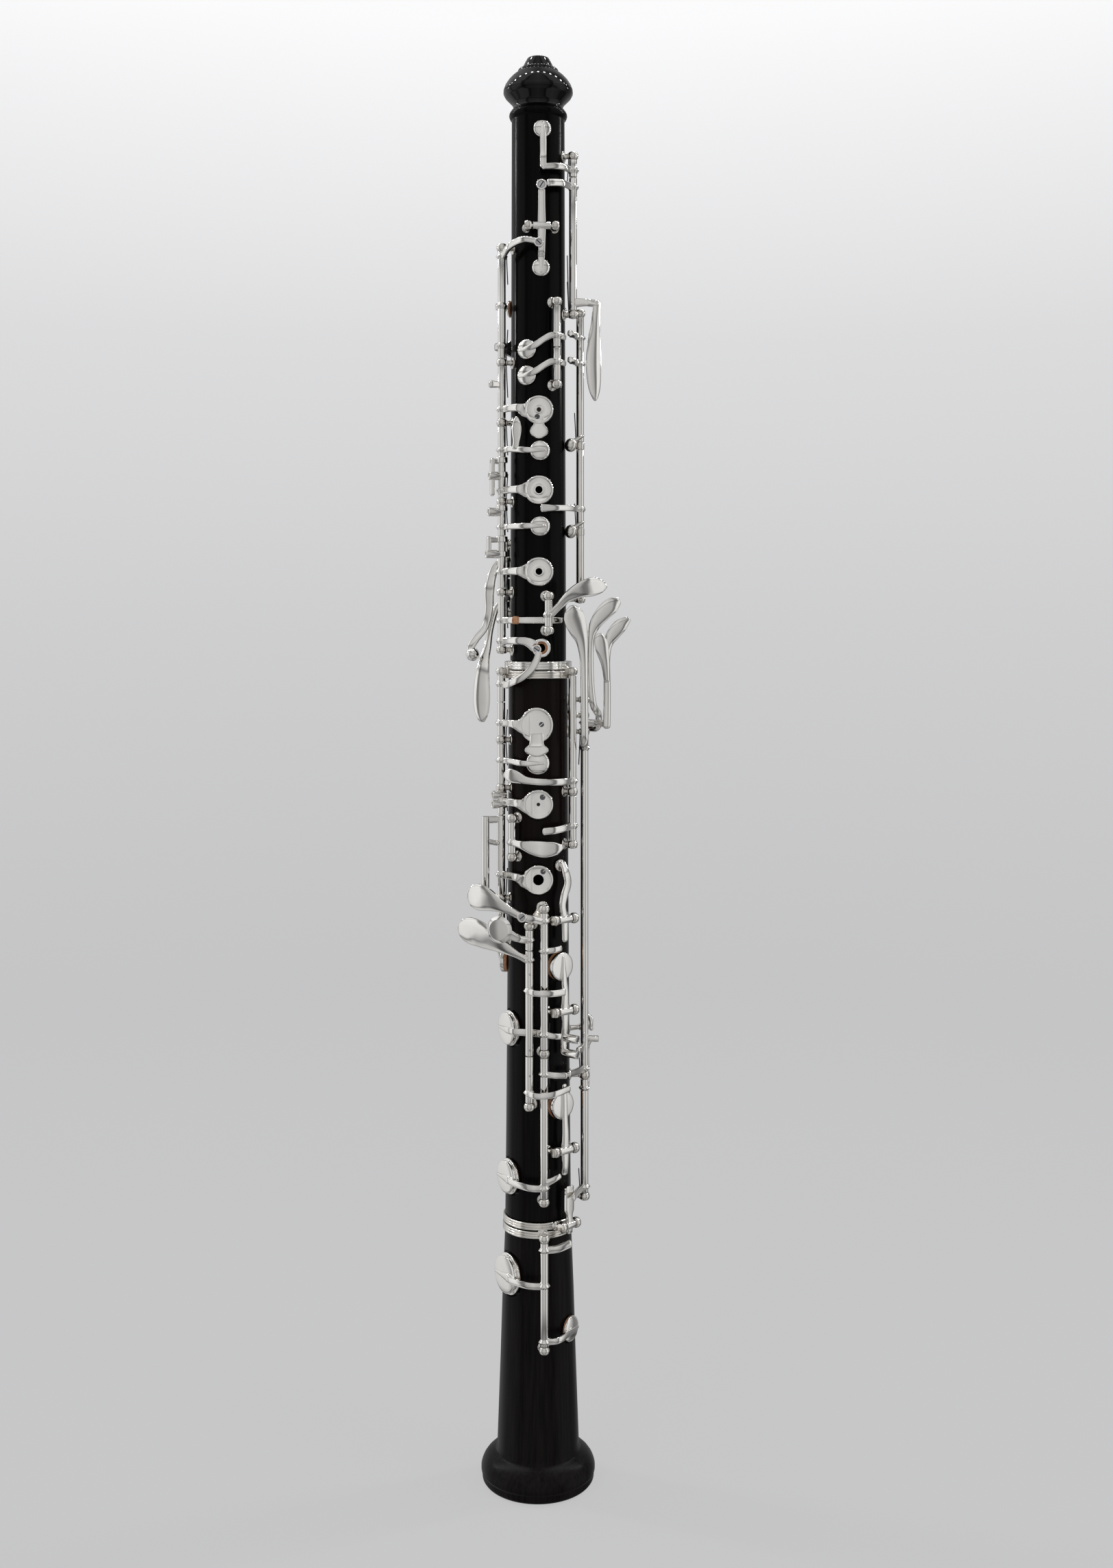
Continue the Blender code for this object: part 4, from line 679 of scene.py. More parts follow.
def lower_rods():
    on_ring = {338.0: 14.25}
    fit({
        "lower_joint_top_ring_and_rods": [
            ring(11.55, 14.6, 335.05, JOINT_Z - SPLIT),
            *rod_on_posts(STACK_L, (338.0, 309.5, 289.5, 243.6, 226.4), on_ring),
            *rod_on_posts(FORK_L, (338.0, 288.1, 266.2), on_ring),
        ],
        "leaf_rod_and_posts": rod_on_posts(LEAF_L, (277.6, 261.5)),
        "left_hand_rods_and_posts": [
            *rod_on_posts(LONG_L, (326.0, 312.6, 169.0, 118.3)), *rod_on_posts(BEHIND_L, (319.0, 187.0)),
            strap((LONG_L, 326.0), (BEHIND_L, 319.0)),
        ],
        "right_hand_rods_and_posts": [
            *rod_on_posts(RIGHT_L, (241.0, 181.7, 120.8)), *rod_on_posts(LEFT_L, (234.0, 160.0)),
            strap((RIGHT_L, 241.0), (LEFT_L, 234.0)),
        ],
        "f_resonance_posts": cross_posts(40, 17.0, 236.0, 5.2),
        "e_flat_cup_posts": cross_posts(40, 17.2, 198.2, 5.2),
        "c_sharp_cup_posts": cross_posts(40, 17.4, 141.0, 5.2),
        "lower_joint_bottom_ring_and_posts": [
            ring(13.15, 14.6, BELL_Z + SPLIT + 0.05, 111.15), *cross_posts(48, 17.4, 109.6, 4.2, 14.3)],
    }, (
        ("lower_joint_top_ring_and_rods", STACK_L, (2.6, -0.4), (
            (309.5, 322.0), (309.5, 299.0), (289.5, 280.0), (243.6, 256.0), (243.6, 234.0))),
        ("left_hand_rods_and_posts", LONG_L, (-2.4, -1.0), ((312.6, 299.0), (169.0, 181.0), (118.3, 130.0))),
        ("right_hand_rods_and_posts", RIGHT_L, (2.3, 0.6), ((181.7, 194.0), (181.7, 168.0), (120.8, 134.0))),
    ))


def bell_rod():
    rod = rod_on_posts(BELL_ROD, (106.4, 60.8), {106.4: 14.2})
    nickel("bell_ring_and_rod", [ring(12.85, 14.8, 104.65, BELL_Z - SPLIT - 0.05), *rod])


# ---- keys ----
class Key:
    """The shapes of one key with its pads and screws. It has its tone hole's name."""

    made = []

    def __init__(self, name, axis=None, low=0.0, high=0.0):
        self.name, self.axis = name, axis
        self.shapes = {kind: [] for kind in ("looks", *SMALL)}
        self.over(name)
        if axis:
            self.add(hoop(TUBE_BORE, TUBE_R, low, high, 32, (*axis, 0)))
        Key.made.append(self)

    def add(self, shape, kind="looks"):
        self.shapes[kind].append(shape)
        return self

    def over(self, hole):
        """What follows belongs to this tone hole."""
        self.hole = TONE_HOLES.get(hole)
        return self

    def ring_screw(self, radius, at, axis, height, angle):
        """A ring with a slotted screw let into it, and a near-black strip in the slot's bottom that paints its
        shade.
        """
        inner = radius * 0.68
        self.add(hoop(inner, radius, 0, height, 40, at, axis, 0.2))
        self.add(slotted(inner - 0.1, at, axis, height - 0.15, angle, 0.4, 0.5), "screws")
        turn = Vector(axis).to_track_quat("Z", "Y").to_matrix() @ Matrix.Rotation(angle, 3, "Z")
        ends = [Vector(at) + turn @ Vector((side * inner * 0.8, 0, height - 0.5)) for side in (-1, 1)]
        # A near-black strip in the bottom of the slot: painted shade.
        return self.add(sweep(ends, [(0.19, 0.1)] * 2, axis, 8, 4.0, 0.5), "painted_shade_and_dark_discs")

    def grub(self, z):
        """A small screw let into the tube's front."""
        x, y = self.axis
        return self.add(turned([(0, 0.12), (0.4, 0.1), (0.55, 0), (0.55, -0.3), (0, -0.3)], 20,
                               (x + 0.3, y - TUBE_R + 0.02, z), (0.1, -1, 0), 0.04), "screws")

    def collar(self, *heights, half=1.3):
        """The sharp ridges round the tube where arms leave it."""
        ridge = [(1.4, half), (TUBE_R + 0.06, half), (TUBE_R + 0.28, half * 0.7), (TUBE_R + 0.85, 0.0),
                 (TUBE_R + 0.28, -half * 0.7), (TUBE_R + 0.06, -half), (1.4, -half)]
        for z in heights:
            self.add(turned(ridge, 36, (*self.axis, z), soft=0.1))
        return self

    def band(self, *heights):
        """Raised sleeves with square shoulders on the tube."""
        for z in heights:
            self.add(hoop(1.3, 2.45, z - 1.2, z + 1.2, 36, (*self.axis, 0), soft=0.3))
        return self

    def boss(self, angle, radius, z, half):
        """The cross tube of a rocking lever."""
        centre, side = cross_frame(angle, radius)
        return self.add(hoop(TUBE_BORE, 1.75, -half, half, 32, (*centre, z), side, 0.14))

    def barrel(self, at, length):
        """An open barrel that stands out to the left, dark inside."""
        return self.add(hoop(1.75 * 0.6, 1.75, -length / 2, length / 2, 32, at, (-0.94, -0.34, 0)))

    def bar(self, *rows, facing=None, square=3.6):
        """An arm, lever or touch through rows of (x, y, z, half width, half thickness)."""
        sizes = [(max(w, min(w * 1.22, 1.5)) if w > 0.85 else w, t) for *_, w, t in rows]
        if facing and max(wide for wide, _ in sizes) > 2.4:
            square = 2.1
        return self.add(sweep([row[:3] for row in rows], sizes, facing, square=square))

    def foot(self):
        """How far the cup's underside is from the bore's axis."""
        _, z, radius, _, lift, _ = self.hole
        return (surface(z) if radius < SUNK_FROM else seat_level(z, radius)) + FIT + lift

    def on(self, sideways=0.0, up=0.0, rise=0.1):
        """A point on the cup's top, moved sideways and up the bore."""
        angle, z, height = self.hole[0], self.hole[1], self.hole[5]
        x, y = polar(angle, self.foot() + height + rise)
        a = math.radians(angle)
        return x + sideways * math.cos(a), y + sideways * math.sin(a), z + up

    def dot(self, sideways, up, radius):
        """An adjusting screw let into the top of a cup."""
        out = tuple(outward(*polar(self.hole[0], 1)))
        return self.add(slotted(radius, self.on(sideways, up, -0.75), out, 0.62, 0.7, 0.26, 0.25), "dots")

    def cup(self, pierced=0.0, style=None):
        """A pad cup over the tone hole, and its pad."""
        angle, z, radius, _, lift, t = self.hole
        x, y = polar(angle, self.foot())
        style = style or ("finger" if pierced else "big" if t > 2.1 else "domed")
        if style == "finger" and radius > 6.05:
            p = pierced
            profile = [(p, 0.5), (p, t - 0.42)] if p else [(0, t - 0.3)]
            profile += [
                (radius * 0.6, t - 0.42), (radius * 0.84, t - 0.2), (radius * 0.91, t + 0.02),
                (radius * 0.96, t - 0.02), (radius, t - 0.35), (radius, 0.5),
            ]
            if not p:
                profile.append((0, 0.5))
        elif style == "finger":
            p = max(pierced, 0.85)
            profile = [
                (p, 0.5), (p, t - 0.25), (p + 0.15, t - 0.02), (p + 0.55, t - 0.02), (p + 0.8, t - 0.42),
                (radius * 0.55, t - 0.5), (radius * 0.82, t - 0.2), (radius * 0.89, t + 0.08),
                (radius * 0.95, t + 0.04), (radius, t - 0.35), (radius, 0.5),
            ]
        elif style == "ring":
            profile = [(2.55, 0.3), (2.55, t - 0.1), (2.75, t + 0.1), (radius - 0.3, t + 0.1),
                       (radius, t - 0.25), (radius, 0.3)]
        elif style == "big" and t < 2.25:
            profile = [(0, t), (radius * 0.8, t - 0.1), (radius * 0.95, t - 0.25), (radius, t - 0.55),
                       (radius, 0.2), (0, 0.2)]
        elif style == "big":
            profile = [
                (0, t - 0.02), (radius * 0.45, t - 0.05), (radius * 0.80, t - 0.14), (radius * 0.9, t - 0.28),
                (radius * 0.91, t - 0.6), (radius * 0.87, t - 0.7), (radius * 0.87, 0.75),
                (radius * 0.98, 0.55), (radius, 0.3), (radius, -0.35), (radius - 0.2, -0.55), (0, -0.55),
            ]
        else:
            profile = [
                (0, t + 0.05), (radius * 0.3, t), (radius * 0.6, t - 0.16), (radius * 0.82, t - 0.42),
                (radius * 0.94, t - 0.75), (radius, t - 1.1), (radius, 0.45), (0, 0.45),
            ]
        at, aim = (x, y, z), outward(x, y)
        tall = 1.08 if radius > 6.5 and style == "finger" else 1.0
        self.add(stretched(turned(profile, 64, at, aim, 0.1), z, tall))
        foot, outside = -min(0.15 + lift * 0.2, 0.35), radius - 0.3
        if 0.9 < lift and t < 2.25:
            foot, outside = -lift - 0.1, radius - 0.1
        elif t > 2.25:
            foot, outside = -0.85, radius - 0.5
        if style == "ring":
            pad = [(1.75, foot), (outside, foot), (outside, 0.5), (2.4, 0.75), (1.75, 0.75)]
        else:
            inner = pierced + 0.15 if pierced else 0
            pad = [(inner, foot), (outside, foot), (outside, 0.6), (inner, 0.6)]
        self.add(turned(pad, 48, at, aim, 0.16), "pads")
        # A near-black disc in the cup's perforation: painted shade of the open hole.
        if 0 < pierced < 1.0:
            self.add(hoop(0, pierced + 0.05, 0.1, 0.9, 24, at, aim, 0.05), "painted_shade_and_dark_discs")
        return self

    def done(self):
        silver(self.name, self.shapes["looks"])
        for kind, material in SMALL.items():
            if self.shapes[kind]:
                piece(f"{self.name}_{kind}", self.shapes[kind], material, self.name)


def finger_key(name, axis, low, high, arm_z, pierced=0.0, plate=None):
    """A stack key: its tube, a teardrop arm over the wood, and the finger plate."""
    key = Key(name, axis, low, high).collar(arm_z)
    _, z, radius, _, _, _ = key.hole
    x, y = axis
    out = outward(x, y)
    start = (x + out.x * 0.2 + 1.2, y + out.y * 0.2 - 1.2, arm_z, 1.4, 1.0)
    neck = (*key.on(-radius - 2.4, (arm_z - z) * 0.8, -0.4), 1.7, 0.8)
    rows = [start, (*polar(-46, 15.6), arm_z, 1.4, 0.9), neck, (*key.on(-radius - 0.4, 0, -0.6), 2.7, 0.6)]
    if radius > 6.05:
        key.bar(*rows, (*key.on(-radius * 0.75, 0, -0.62), 4.1, 0.55),
                (*key.on(-radius * 0.42, 0, -0.66), 5.2, 0.55), square=5)
    else:
        key.bar(*rows, (*key.on(-radius * 0.8, 0, -0.95), 3.4, 0.4))
    key.cup(pierced, "finger")
    if plate:
        plate_z, half_width, half_height, raised = plate
        x, y, top = key.on(0, -radius * 0.55, -0.7)
        rows = [(x, y, top, half_width * 0.55, 0.5)]
        for along, share in ((0.95, 0.6), (0.6, 0.84), (0.05, 1.0), (-0.5, 0.86), (-0.9, 0.42)):
            rows.append((x, y - 0.1 - raised, plate_z + along * half_height, half_width * share, 0.5))
        key.bar(*rows)
    return key


def vent_key(name, axis, low, high, arm_z):
    """A small stack key with a slim arm that runs across its cup as a rib."""
    key = Key(name, axis, low, high).collar(arm_z, half=1.1)
    radius = key.hole[2]
    key.bar(
        (axis[0] + 1.2, axis[1] - 1.2, arm_z, 1.1, 0.9), (*polar(-46, 15.6), arm_z, 1.0, 0.9),
        (*key.on(-radius - 1, 0, 0.2), 1.0, 0.8), (*key.on(radius * 0.5, 0, 0), 0.5, 0.5),
    )
    return key.cup()


def octave_keys():
    key = Key("top_trill_key", OCTAVE_U, 543.9, 552.7 - FACE).collar(546.6)
    corner = (2.2, -15.4, 545.6)
    key.bar((13.6, -6.2, 546.6, 1.1, 0.9), (9.5, -12.6, 546.3, 1.1, 0.9), (*corner, 1.1, 0.8))
    key.bar(
        (*corner, 1.1, 0.8), (2.2, -15.3, 551.0, 1.1, 0.8), (*key.on(0, -3.8, 0.4), 1.1, 0.8),
        (*key.on(0, 2, 0), 0.5, 0.5),
    )
    key.cup()

    key = Key("side_octave_key", OCTAVE_U, 486.6 + FACE, 543.4).collar(539.6)
    key.bar((13.8, -6.3, 539.6, 1.2, 0.9), (9.8, -14.6, 539.0, 1.2, 0.8), (4.4, -18.0, 538.2, 1.3, 0.8))
    key.bar((15.6, -5.2, 491.5, 1.9, 1.5), (20.5, -5.4, 491.6, 1.4, 1.2), (24.8, -5.4, 491.0, 1.4, 1.0))
    key.bar(
        (24.5, -5.4, 491.8, 1.7, 1.0), (24.0, -5.6, 484, 1.9, 1.0), (23.4, -6.0, 475, 2.9, 1.1),
        (23.1, -6.3, 466, 3.4, 1.1), (23.4, -6.2, 457.4, 2.9, 1.0), (23.7, -6.0, 452.6, 1.7, 0.8),
        (23.8, -5.9, 450.8, 0.6, 0.4), facing=(0.35, -0.94, 0),
    )


def octave_rocker():
    """The see-saw lever of the second octave: pushed in at its top screw, it lifts the cup at its foot."""
    key = Key("octave_rocker").boss(6, 15.2, 521.3, 3.6)
    (x, y), _ = cross_frame(6, 15.2)
    key.bar(
        (x, y - 0.3, 538.8, 1.2, 0.8), (x, y - 0.2, 530, 1.3, 0.9), (x, y, 521.3, 1.7, 1.1),
        (x, y - 0.1, 512, 1.2, 0.9), (*key.on(0, 3.9, 0.3), 1.2, 0.8), (*key.on(0, -2, 0), 0.5, 0.5),
    )
    key.ring_screw(2.15, (x, y - 0.2, 537.6), (0, -1, 0), 2.8, 1.0)
    key.cup()


def left_upper_keys():
    key = Key("thumb_octave_key", STACK_U, 466.5 + FACE, 514.3 - FACE).collar(510.6, 490.0, 473.4)
    key.bar(
        (-14.6, -7.0, 510.6, 1.2, 1.0), (-11.5, -13.2, 513.4, 1.2, 0.9), (-6.0, -17.6, 515.0, 1.1, 0.9),
        (-1.2, -19.0, 514.2, 1.0, 0.8),
    )
    key.ring_screw(1.95, (0.5, -18.2, 513.6), (0, -1, 0), 1.6, -0.8)
    key.bar(
        (-15.8, -4.8, 490.4, 1.2, 0.9), (-17.0, -1.4, 490.5, 1.1, 0.9), (*key.on(2.6, 0, 0.3), 1.0, 0.8),
        (*key.on(-1, 0, 0.1), 0.6, 0.6),
    )
    key.bar(
        (-15.9, -4.7, 473.8, 1.2, 0.9), (-17.6, 1.0, 474.0, 1.2, 0.9), (-15.6, 8.5, 474.5, 1.5, 0.9),
        (-9.5, 14.2, 475.5, 4.2, 1.0), (-2.0, 16.8, 476.5, 1.2, 0.7),
    )
    key.cup()


def upper_stack_keys():
    key = finger_key("half_hole_key", STACK_U, 441.4 + FACE, 466.5 - FACE, 447.0, 0.6, (437.1, 3.8, 2.8, 0.0))
    key.dot(-0.7, -2.9, 1.1)
    key.bar((-16.0, -6.2, 457.3, 1.0, 0.8), (-19.6, -7.8, 457.3, 1.6, 1.2))

    key = vent_key("c_vent_key", STACK_U, 427.2, 441.4 - FACE, 430.0)
    key.bar(
        (-9.2, -12.5, 430.2, 1.2, 1.1), (-8.8, -13.2, 432.8, 1.4, 0.8), (-8.7, -13.5, 437.4, 2.1, 0.8),
        (-8.7, -13.4, 440.8, 1.7, 0.8), (-8.8, -13.2, 442.6, 0.7, 0.6), facing=(-0.3, -0.95, 0),
    )

    key = finger_key("a_key", STACK_U, 408.7 + FACE, 426.7, 413.2, 1.4)
    key.bar((-16.0, -6.2, 419.2, 1.0, 0.9), (-19.0, -7.6, 419.2, 1.2, 1.1))
    key.band(419.8, 425.9).barrel((-18.2, -7.4, 419.2), 4.6)
    key.bar((-16.2, -6.2, 425.3, 0.9, 0.8), (-19.4, -7.4, 425.3, 0.9, 0.9))
    key.bar((-19.0, -7.2, 425.9, 1.0, 0.9), (-19.0, -7.2, 411.6, 1.0, 0.9))

    key = vent_key("b_flat_key", STACK_U, 394.4, 408.7 - FACE, 398.0)
    key.bar((-16.0, -6.2, 404.2, 1.0, 0.9), (-19.0, -7.6, 404.2, 1.2, 1.1))
    key.band(405.9).barrel((-18.2, -7.4, 404.2), 5.2)

    key = finger_key("g_key", STACK_U, 370.9 + FACE, 393.9, 379.5, 1.3)
    key.bar((-16.0, -6.2, 386.7, 1.0, 0.9), (-20.0, -7.8, 386.7, 1.2, 1.1))
    key.band(386.7, 392.9).barrel((-18.6, -7.4, 386.7), 6.4)
    key.bar((-16.2, -6.2, 392.6, 0.9, 0.8), (-20.6, -7.8, 392.6, 1.0, 0.9))
    key.bar((-20.4, -7.8, 393.4, 1.0, 0.9), (-20.4, -7.8, 386.7, 1.0, 0.9))

    key = Key("low_g_key", STACK_U, 346.9 + FACE, 370.9 - FACE).collar(359.2, 350.6)
    key.bar(
        (-14.2, -7.2, 359.2, 1.2, 0.9), (-9.5, -12.6, 359.2, 1.1, 0.6), (-2, -13.2, 359.2, 1.1, 0.5),
        (4.9, -12.0, 359.2, 1.1, 0.45), (9.8, -10.2, 359.2, 0.9, 0.45),
    )
    key.bar(
        (-14.2, -7.2, 350.6, 1.5, 1.0), (-9.6, -12.4, 350.8, 1.3, 0.8), (-4.6, -14.2, 350.4, 1.8, 0.7),
        (*key.on(-2.6, 0.6, -0.1), 2.4, 0.5),
    )
    key.cup(1.7, "ring")
    key.add(sweep([(-9.9, -12.5, 359.2), (-8.2, -13.0, 359.2)], [(1.65, 0.95)] * 2, step=0.4), "corks")


def trill_keys():
    x, y = TRILL_U
    for name, low, high, arm_z in (
        ("d_trill_key", 471.9, 490.7 - FACE, 476.4), ("c_sharp_trill_key", 456.4 + FACE, 471.4, 465.6),
    ):
        key = Key(name, TRILL_U, low, high).collar(arm_z)
        radius = key.hole[2]
        key.bar(
            (x + 3.2, y + 2.2, arm_z - 0.3, 1.0, 0.8), (x + 1.0, y - 0.4, arm_z, 1.1, 0.8),
            (x - 2.2, y - 1.8, arm_z, 1.1, 0.8), (x - 5.2, y - 2.2, arm_z - 1.6, 1.1, 0.8),
            (*key.on(radius * 0.9, 0.8, 0.5), 1.1, 0.8), (*key.on(-radius * 0.7, -0.6, 0.0), 0.5, 0.5),
        )
        key.cup()


def side_keys():
    x, y = SIDE_U

    key = Key("upper_trill_link", SIDE_U, 432.4 + FACE, 488.0 - FACE).collar(477.6, 466.6, half=1.0).grub(473.0)
    for z in (477.6, 466.6):
        key.bar((x - 0.4, y - 1.4, z, 1.2, 0.9), (x - 1.2, y - 5.0, z, 1.2, 0.9),
                (x - 4.6, y - 9.2, z + 0.6, 1.0, 0.8))
        key.add(cylinder(1.15, (x - 3.4, y - 8.1, z - 0.95), UP, 0.9), "painted_shade_and_dark_discs")

    key = Key("forked_f_vent_key", SIDE_U, 396.3 + FACE, 432.4 - FACE).collar(405.8)
    key.bar(
        (x - 0.6, y - 1.3, 405.8, 1.2, 0.9), (14.8, -8.6, 405.7, 1.1, 0.8), (9.0, -14.2, 405.4, 1.0, 0.7),
        (1.6, -16.6, 405.2, 1.6, 0.6),
    )

    key = Key("g_sharp_lever", GSHARP_U, 355.0 + FACE, 369.2 - FACE).collar(361.6)
    key.bar(
        (5.4, -15.8, 361.6, 1.4, 0.9), (8.6, -17.0, 364.8, 1.5, 0.9), (12.5, -17.6, 368.8, 2.2, 0.9),
        (17.5, -17.0, 371.6, 3.3, 0.9), (22.5, -15.0, 373.0, 3.9, 0.9), (26.6, -12.4, 373.2, 2.6, 0.8),
        (28.2, -11.4, 373.0, 0.7, 0.5),
    )


def rear_trill_levers():
    x, y = REAR_U

    key = Key("upper_trill_touch", REAR_U, 377.4, 392.0 - FACE).collar(385.0)
    key.bar(
        (x - 1.2, y - 0.8, 385.0, 1.4, 1.0), (-18.6, 5.6, 381.0, 1.8, 0.8), (-20.6, 3.6, 372.0, 2.2, 0.8),
        (-20.8, 3.2, 364.0, 1.8, 0.8), (-22.4, 2.2, 356.4, 1.4, 0.8), (-26.2, 1.2, 351.4, 1.6, 0.9),
        (-28.4, 0.8, 347.6, 1.6, 1.0), (-28.0, 0.8, 345.2, 1.4, 1.0), facing=(-0.3, -0.95, 0),
    )
    bead = [(0, 2.9), (1.5, 2.5), (2.6, 1.2), (2.9, -0.2), (2.4, -1.7), (1.2, -2.7), (0, -2.9)]
    key.add(turned(bead, 48, (-27.6, 0.8, 345.0), (-0.2, -0.6, 1)))

    key = Key("lower_trill_touch", REAR_U, 362.0 + FACE, 376.9).collar(368.4)
    key.bar(
        (x - 0.8, y + 1.2, 368.4, 1.4, 1.0), (-18.0, 8.6, 364.0, 1.4, 0.8), (-20.4, 6.6, 356.0, 1.6, 0.8),
        (-21.4, 4.8, 348.6, 1.7, 0.8), (-22.8, 2.8, 342.0, 2.4, 0.9), (-23.6, 1.6, 335.0, 3.3, 1.0),
        (-23.8, 1.0, 326.0, 3.8, 1.0), (-23.7, 0.8, 319.6, 2.9, 0.9), (-23.6, 0.8, 316.8, 1.0, 0.5),
        facing=(-0.3, -0.95, 0),
    )


def left_pinky_levers():
    key = Key("low_b_lever", LONG_L, 169.0 + FACE, 312.6 - FACE).collar(171.9, half=1.0).collar(306.0)
    key.bar(
        (19.4, -3.0, 306.0, 1.3, 1.0), (19.6, -8.4, 307.0, 1.3, 1.0), (19.4, -11.6, 312.0, 1.6, 1.1),
        (19.2, -12.6, 330.0, 1.6, 1.1), (19.0, -13.4, 343.0, 1.8, 1.0), (18.3, -14.2, 350.4, 2.7, 0.9),
        (16.8, -14.9, 355.0, 4.0, 0.9), (15.2, -15.6, 359.6, 4.7, 0.9), (14.6, -16.0, 362.8, 3.9, 0.9),
        (14.4, -16.2, 365.0, 1.6, 0.5), facing=(0.35, -0.94, 0),
    )
    key.bar((19.0, -3.2, 171.9, 1.2, 0.9), (16.6, -8.6, 172.2, 1.1, 0.9), (12.8, -14.4, 172.6, 1.0, 0.8))
    key.bar((19.2, -3.4, 181.8, 1.2, 0.9), (18.2, -7.4, 181.4, 1.1, 0.9), (16.6, -10.2, 181.2, 1.0, 0.8))

    key = Key("left_f_lever", LONG_L, 312.6 + FACE, 326.0 - FACE).collar(316.4, half=1.0)
    key.bar((20.4, -2.4, 316.4, 1.3, 1.0), (24.4, -3.6, 316.2, 1.3, 1.0), (28.6, -5.6, 316.2, 1.3, 1.1))
    key.bar(
        (28.6, -5.6, 315.0, 1.6, 1.2), (28.8, -5.8, 330.0, 1.5, 1.1), (28.6, -6.0, 343.0, 1.5, 1.1),
        (29.2, -6.2, 349.4, 2.0, 1.0), (31.4, -6.4, 353.6, 2.9, 0.9), (34.6, -6.0, 357.2, 2.8, 0.9),
        (37.8, -5.2, 359.8, 1.0, 0.5), facing=(0.25, -0.97, 0),
    )
    key.bar(
        (28.6, -6.6, 334.0, 1.0, 0.9), (28.0, -8.2, 341.0, 1.9, 0.8), (26.6, -9.6, 347.4, 2.9, 0.8),
        (25.8, -10.2, 351.4, 2.6, 0.7), (25.6, -10.2, 353.6, 1.0, 0.4), facing=(0.25, -0.97, 0),
    )

    key = Key("low_b_flat_lever", BEHIND_L, 187.0 + FACE, 319.0 - FACE)
    key.bar(
        (20.4, 6.1, 313.8, 1.2, 1.1), (24.8, 3.4, 314.0, 1.2, 1.0), (25.4, 0.4, 319.4, 1.2, 1.0),
        (24.2, -5.6, 321.6, 1.4, 1.0), (22.8, -8.6, 325.0, 1.2, 1.0), (21.8, -9.6, 335.0, 1.2, 1.1),
        (21.8, -10.0, 350.0, 1.4, 1.0), (23.2, -10.4, 356.6, 2.3, 0.9), (26.6, -10.2, 361.6, 3.3, 0.9),
        (30.6, -9.4, 365.4, 3.3, 0.9), (33.6, -8.4, 367.4, 1.6, 0.5), facing=(0.25, -0.97, 0),
    )
    key.bar((20.4, 6.0, 192.0, 1.2, 1.0), (22.2, 4.4, 190.6, 1.1, 0.9), (22.4, 3.0, 187.0, 1.0, 0.9))

    key = Key("low_b_flat_transfer", LONG_L, 118.3 + FACE, 169.0 - FACE).collar(163.6, 122.3, half=1.0)
    key.bar(
        (20.4, -0.8, 164.0, 1.2, 1.0), (20.8, 1.3, 166.4, 1.0, 0.9), (20.8, 1.8, 172.0, 0.9, 0.9),
        (20.8, 1.7, 180.0, 0.9, 0.9), (22.0, 0.2, 183.6, 1.1, 0.9),
    )
    key.add(cylinder(1.3, (21.2, 0.2, 183.6), (1, -0.1, 0), 4.2))
    key.bar((18.8, -3.0, 122.3, 1.2, 0.9), (16.6, -8.4, 122.3, 1.1, 0.9), (14.6, -14.6, 121.6, 1.0, 0.8))


def lower_stack_keys():
    key = Key("bridge_to_upper_key", STACK_L, 325.4, 338.0 - FACE).collar(332.8)
    key.bar(
        (-14.4, -7.4, 332.8, 1.3, 1.0), (-12.6, -12.2, 332.6, 1.3, 0.9), (-9.8, -15.9, 334.0, 1.3, 0.9),
        (-6.2, -17.8, 335.9, 1.3, 0.9), (-2.8, -18.7, 339.0, 1.3, 0.8), (-0.5, -19.0, 342.8, 1.2, 0.8),
        (0.4, -19.0, 346.0, 1.1, 0.8),
    )
    key.ring_screw(1.9, (-0.4, -18.0, 347.3), (0, -1, 0), 1.7, -0.6)

    key = finger_key("f_sharp_key", STACK_L, 309.5 + FACE, 325.0, 316.6, 0.0, (305.9, 5.0, 2.4, 2.4))
    key.dot(2.0, 0.3, 1.05)
    vent_key("f_vent_key", STACK_L, 289.5 + FACE, 309.5 - FACE, 301.0)

    key = finger_key("e_key", STACK_L, 278.4, 289.5 - FACE, 284.0, 0.7)
    key.dot(1.7, 3.0, 1.15).barrel((-16.2, -6.6, 286.6), 6.0).barrel((-16.2, -6.6, 282.8), 6.0)

    key = finger_key("d_key", STACK_L, 243.6 + FACE, 278.0, 253.6, 2.2)
    key.dot(1.9, 3.4, 1.1)
    key.bar((-16.2, -6.4, 276.4, 1.1, 1.0), (-21.8, -8.0, 276.4, 1.3, 1.2))
    key.bar((-16.2, -6.4, 266.4, 1.0, 0.9), (-21.8, -8.0, 267.6, 1.0, 0.9))
    key.add(cylinder(1.7, (-21.8, -8.0, 247.6), UP, 30.2))

    key = Key("d_sharp_key", STACK_L, 226.4 + FACE, 243.6 - FACE).collar(231.6)
    key.bar(
        (-16.0, -4.8, 231.6, 1.3, 1.0), (-17.2, -1.4, 229.6, 1.3, 0.9), (-17.6, 0.6, 224.6, 1.2, 0.9),
        (*key.on(1.0, 3.0, 0.5), 1.1, 0.8), (*key.on(0, -2.6, 0.1), 0.7, 0.6),
    )
    key.cup()

    key = Key("leaf_key", LEAF_L, 261.5 + FACE, 277.6 - FACE).collar(267.6)
    key.bar(
        (-10.2, -13.2, 267.6, 1.3, 0.9), (-7.0, -16.2, 267.2, 1.6, 0.9), (-2.6, -17.6, 266.2, 2.7, 0.8),
        (2.4, -17.8, 265.4, 3.3, 0.8), (7.4, -16.6, 265.6, 2.6, 0.8), (9.8, -15.6, 266.2, 1.0, 0.6),
    )


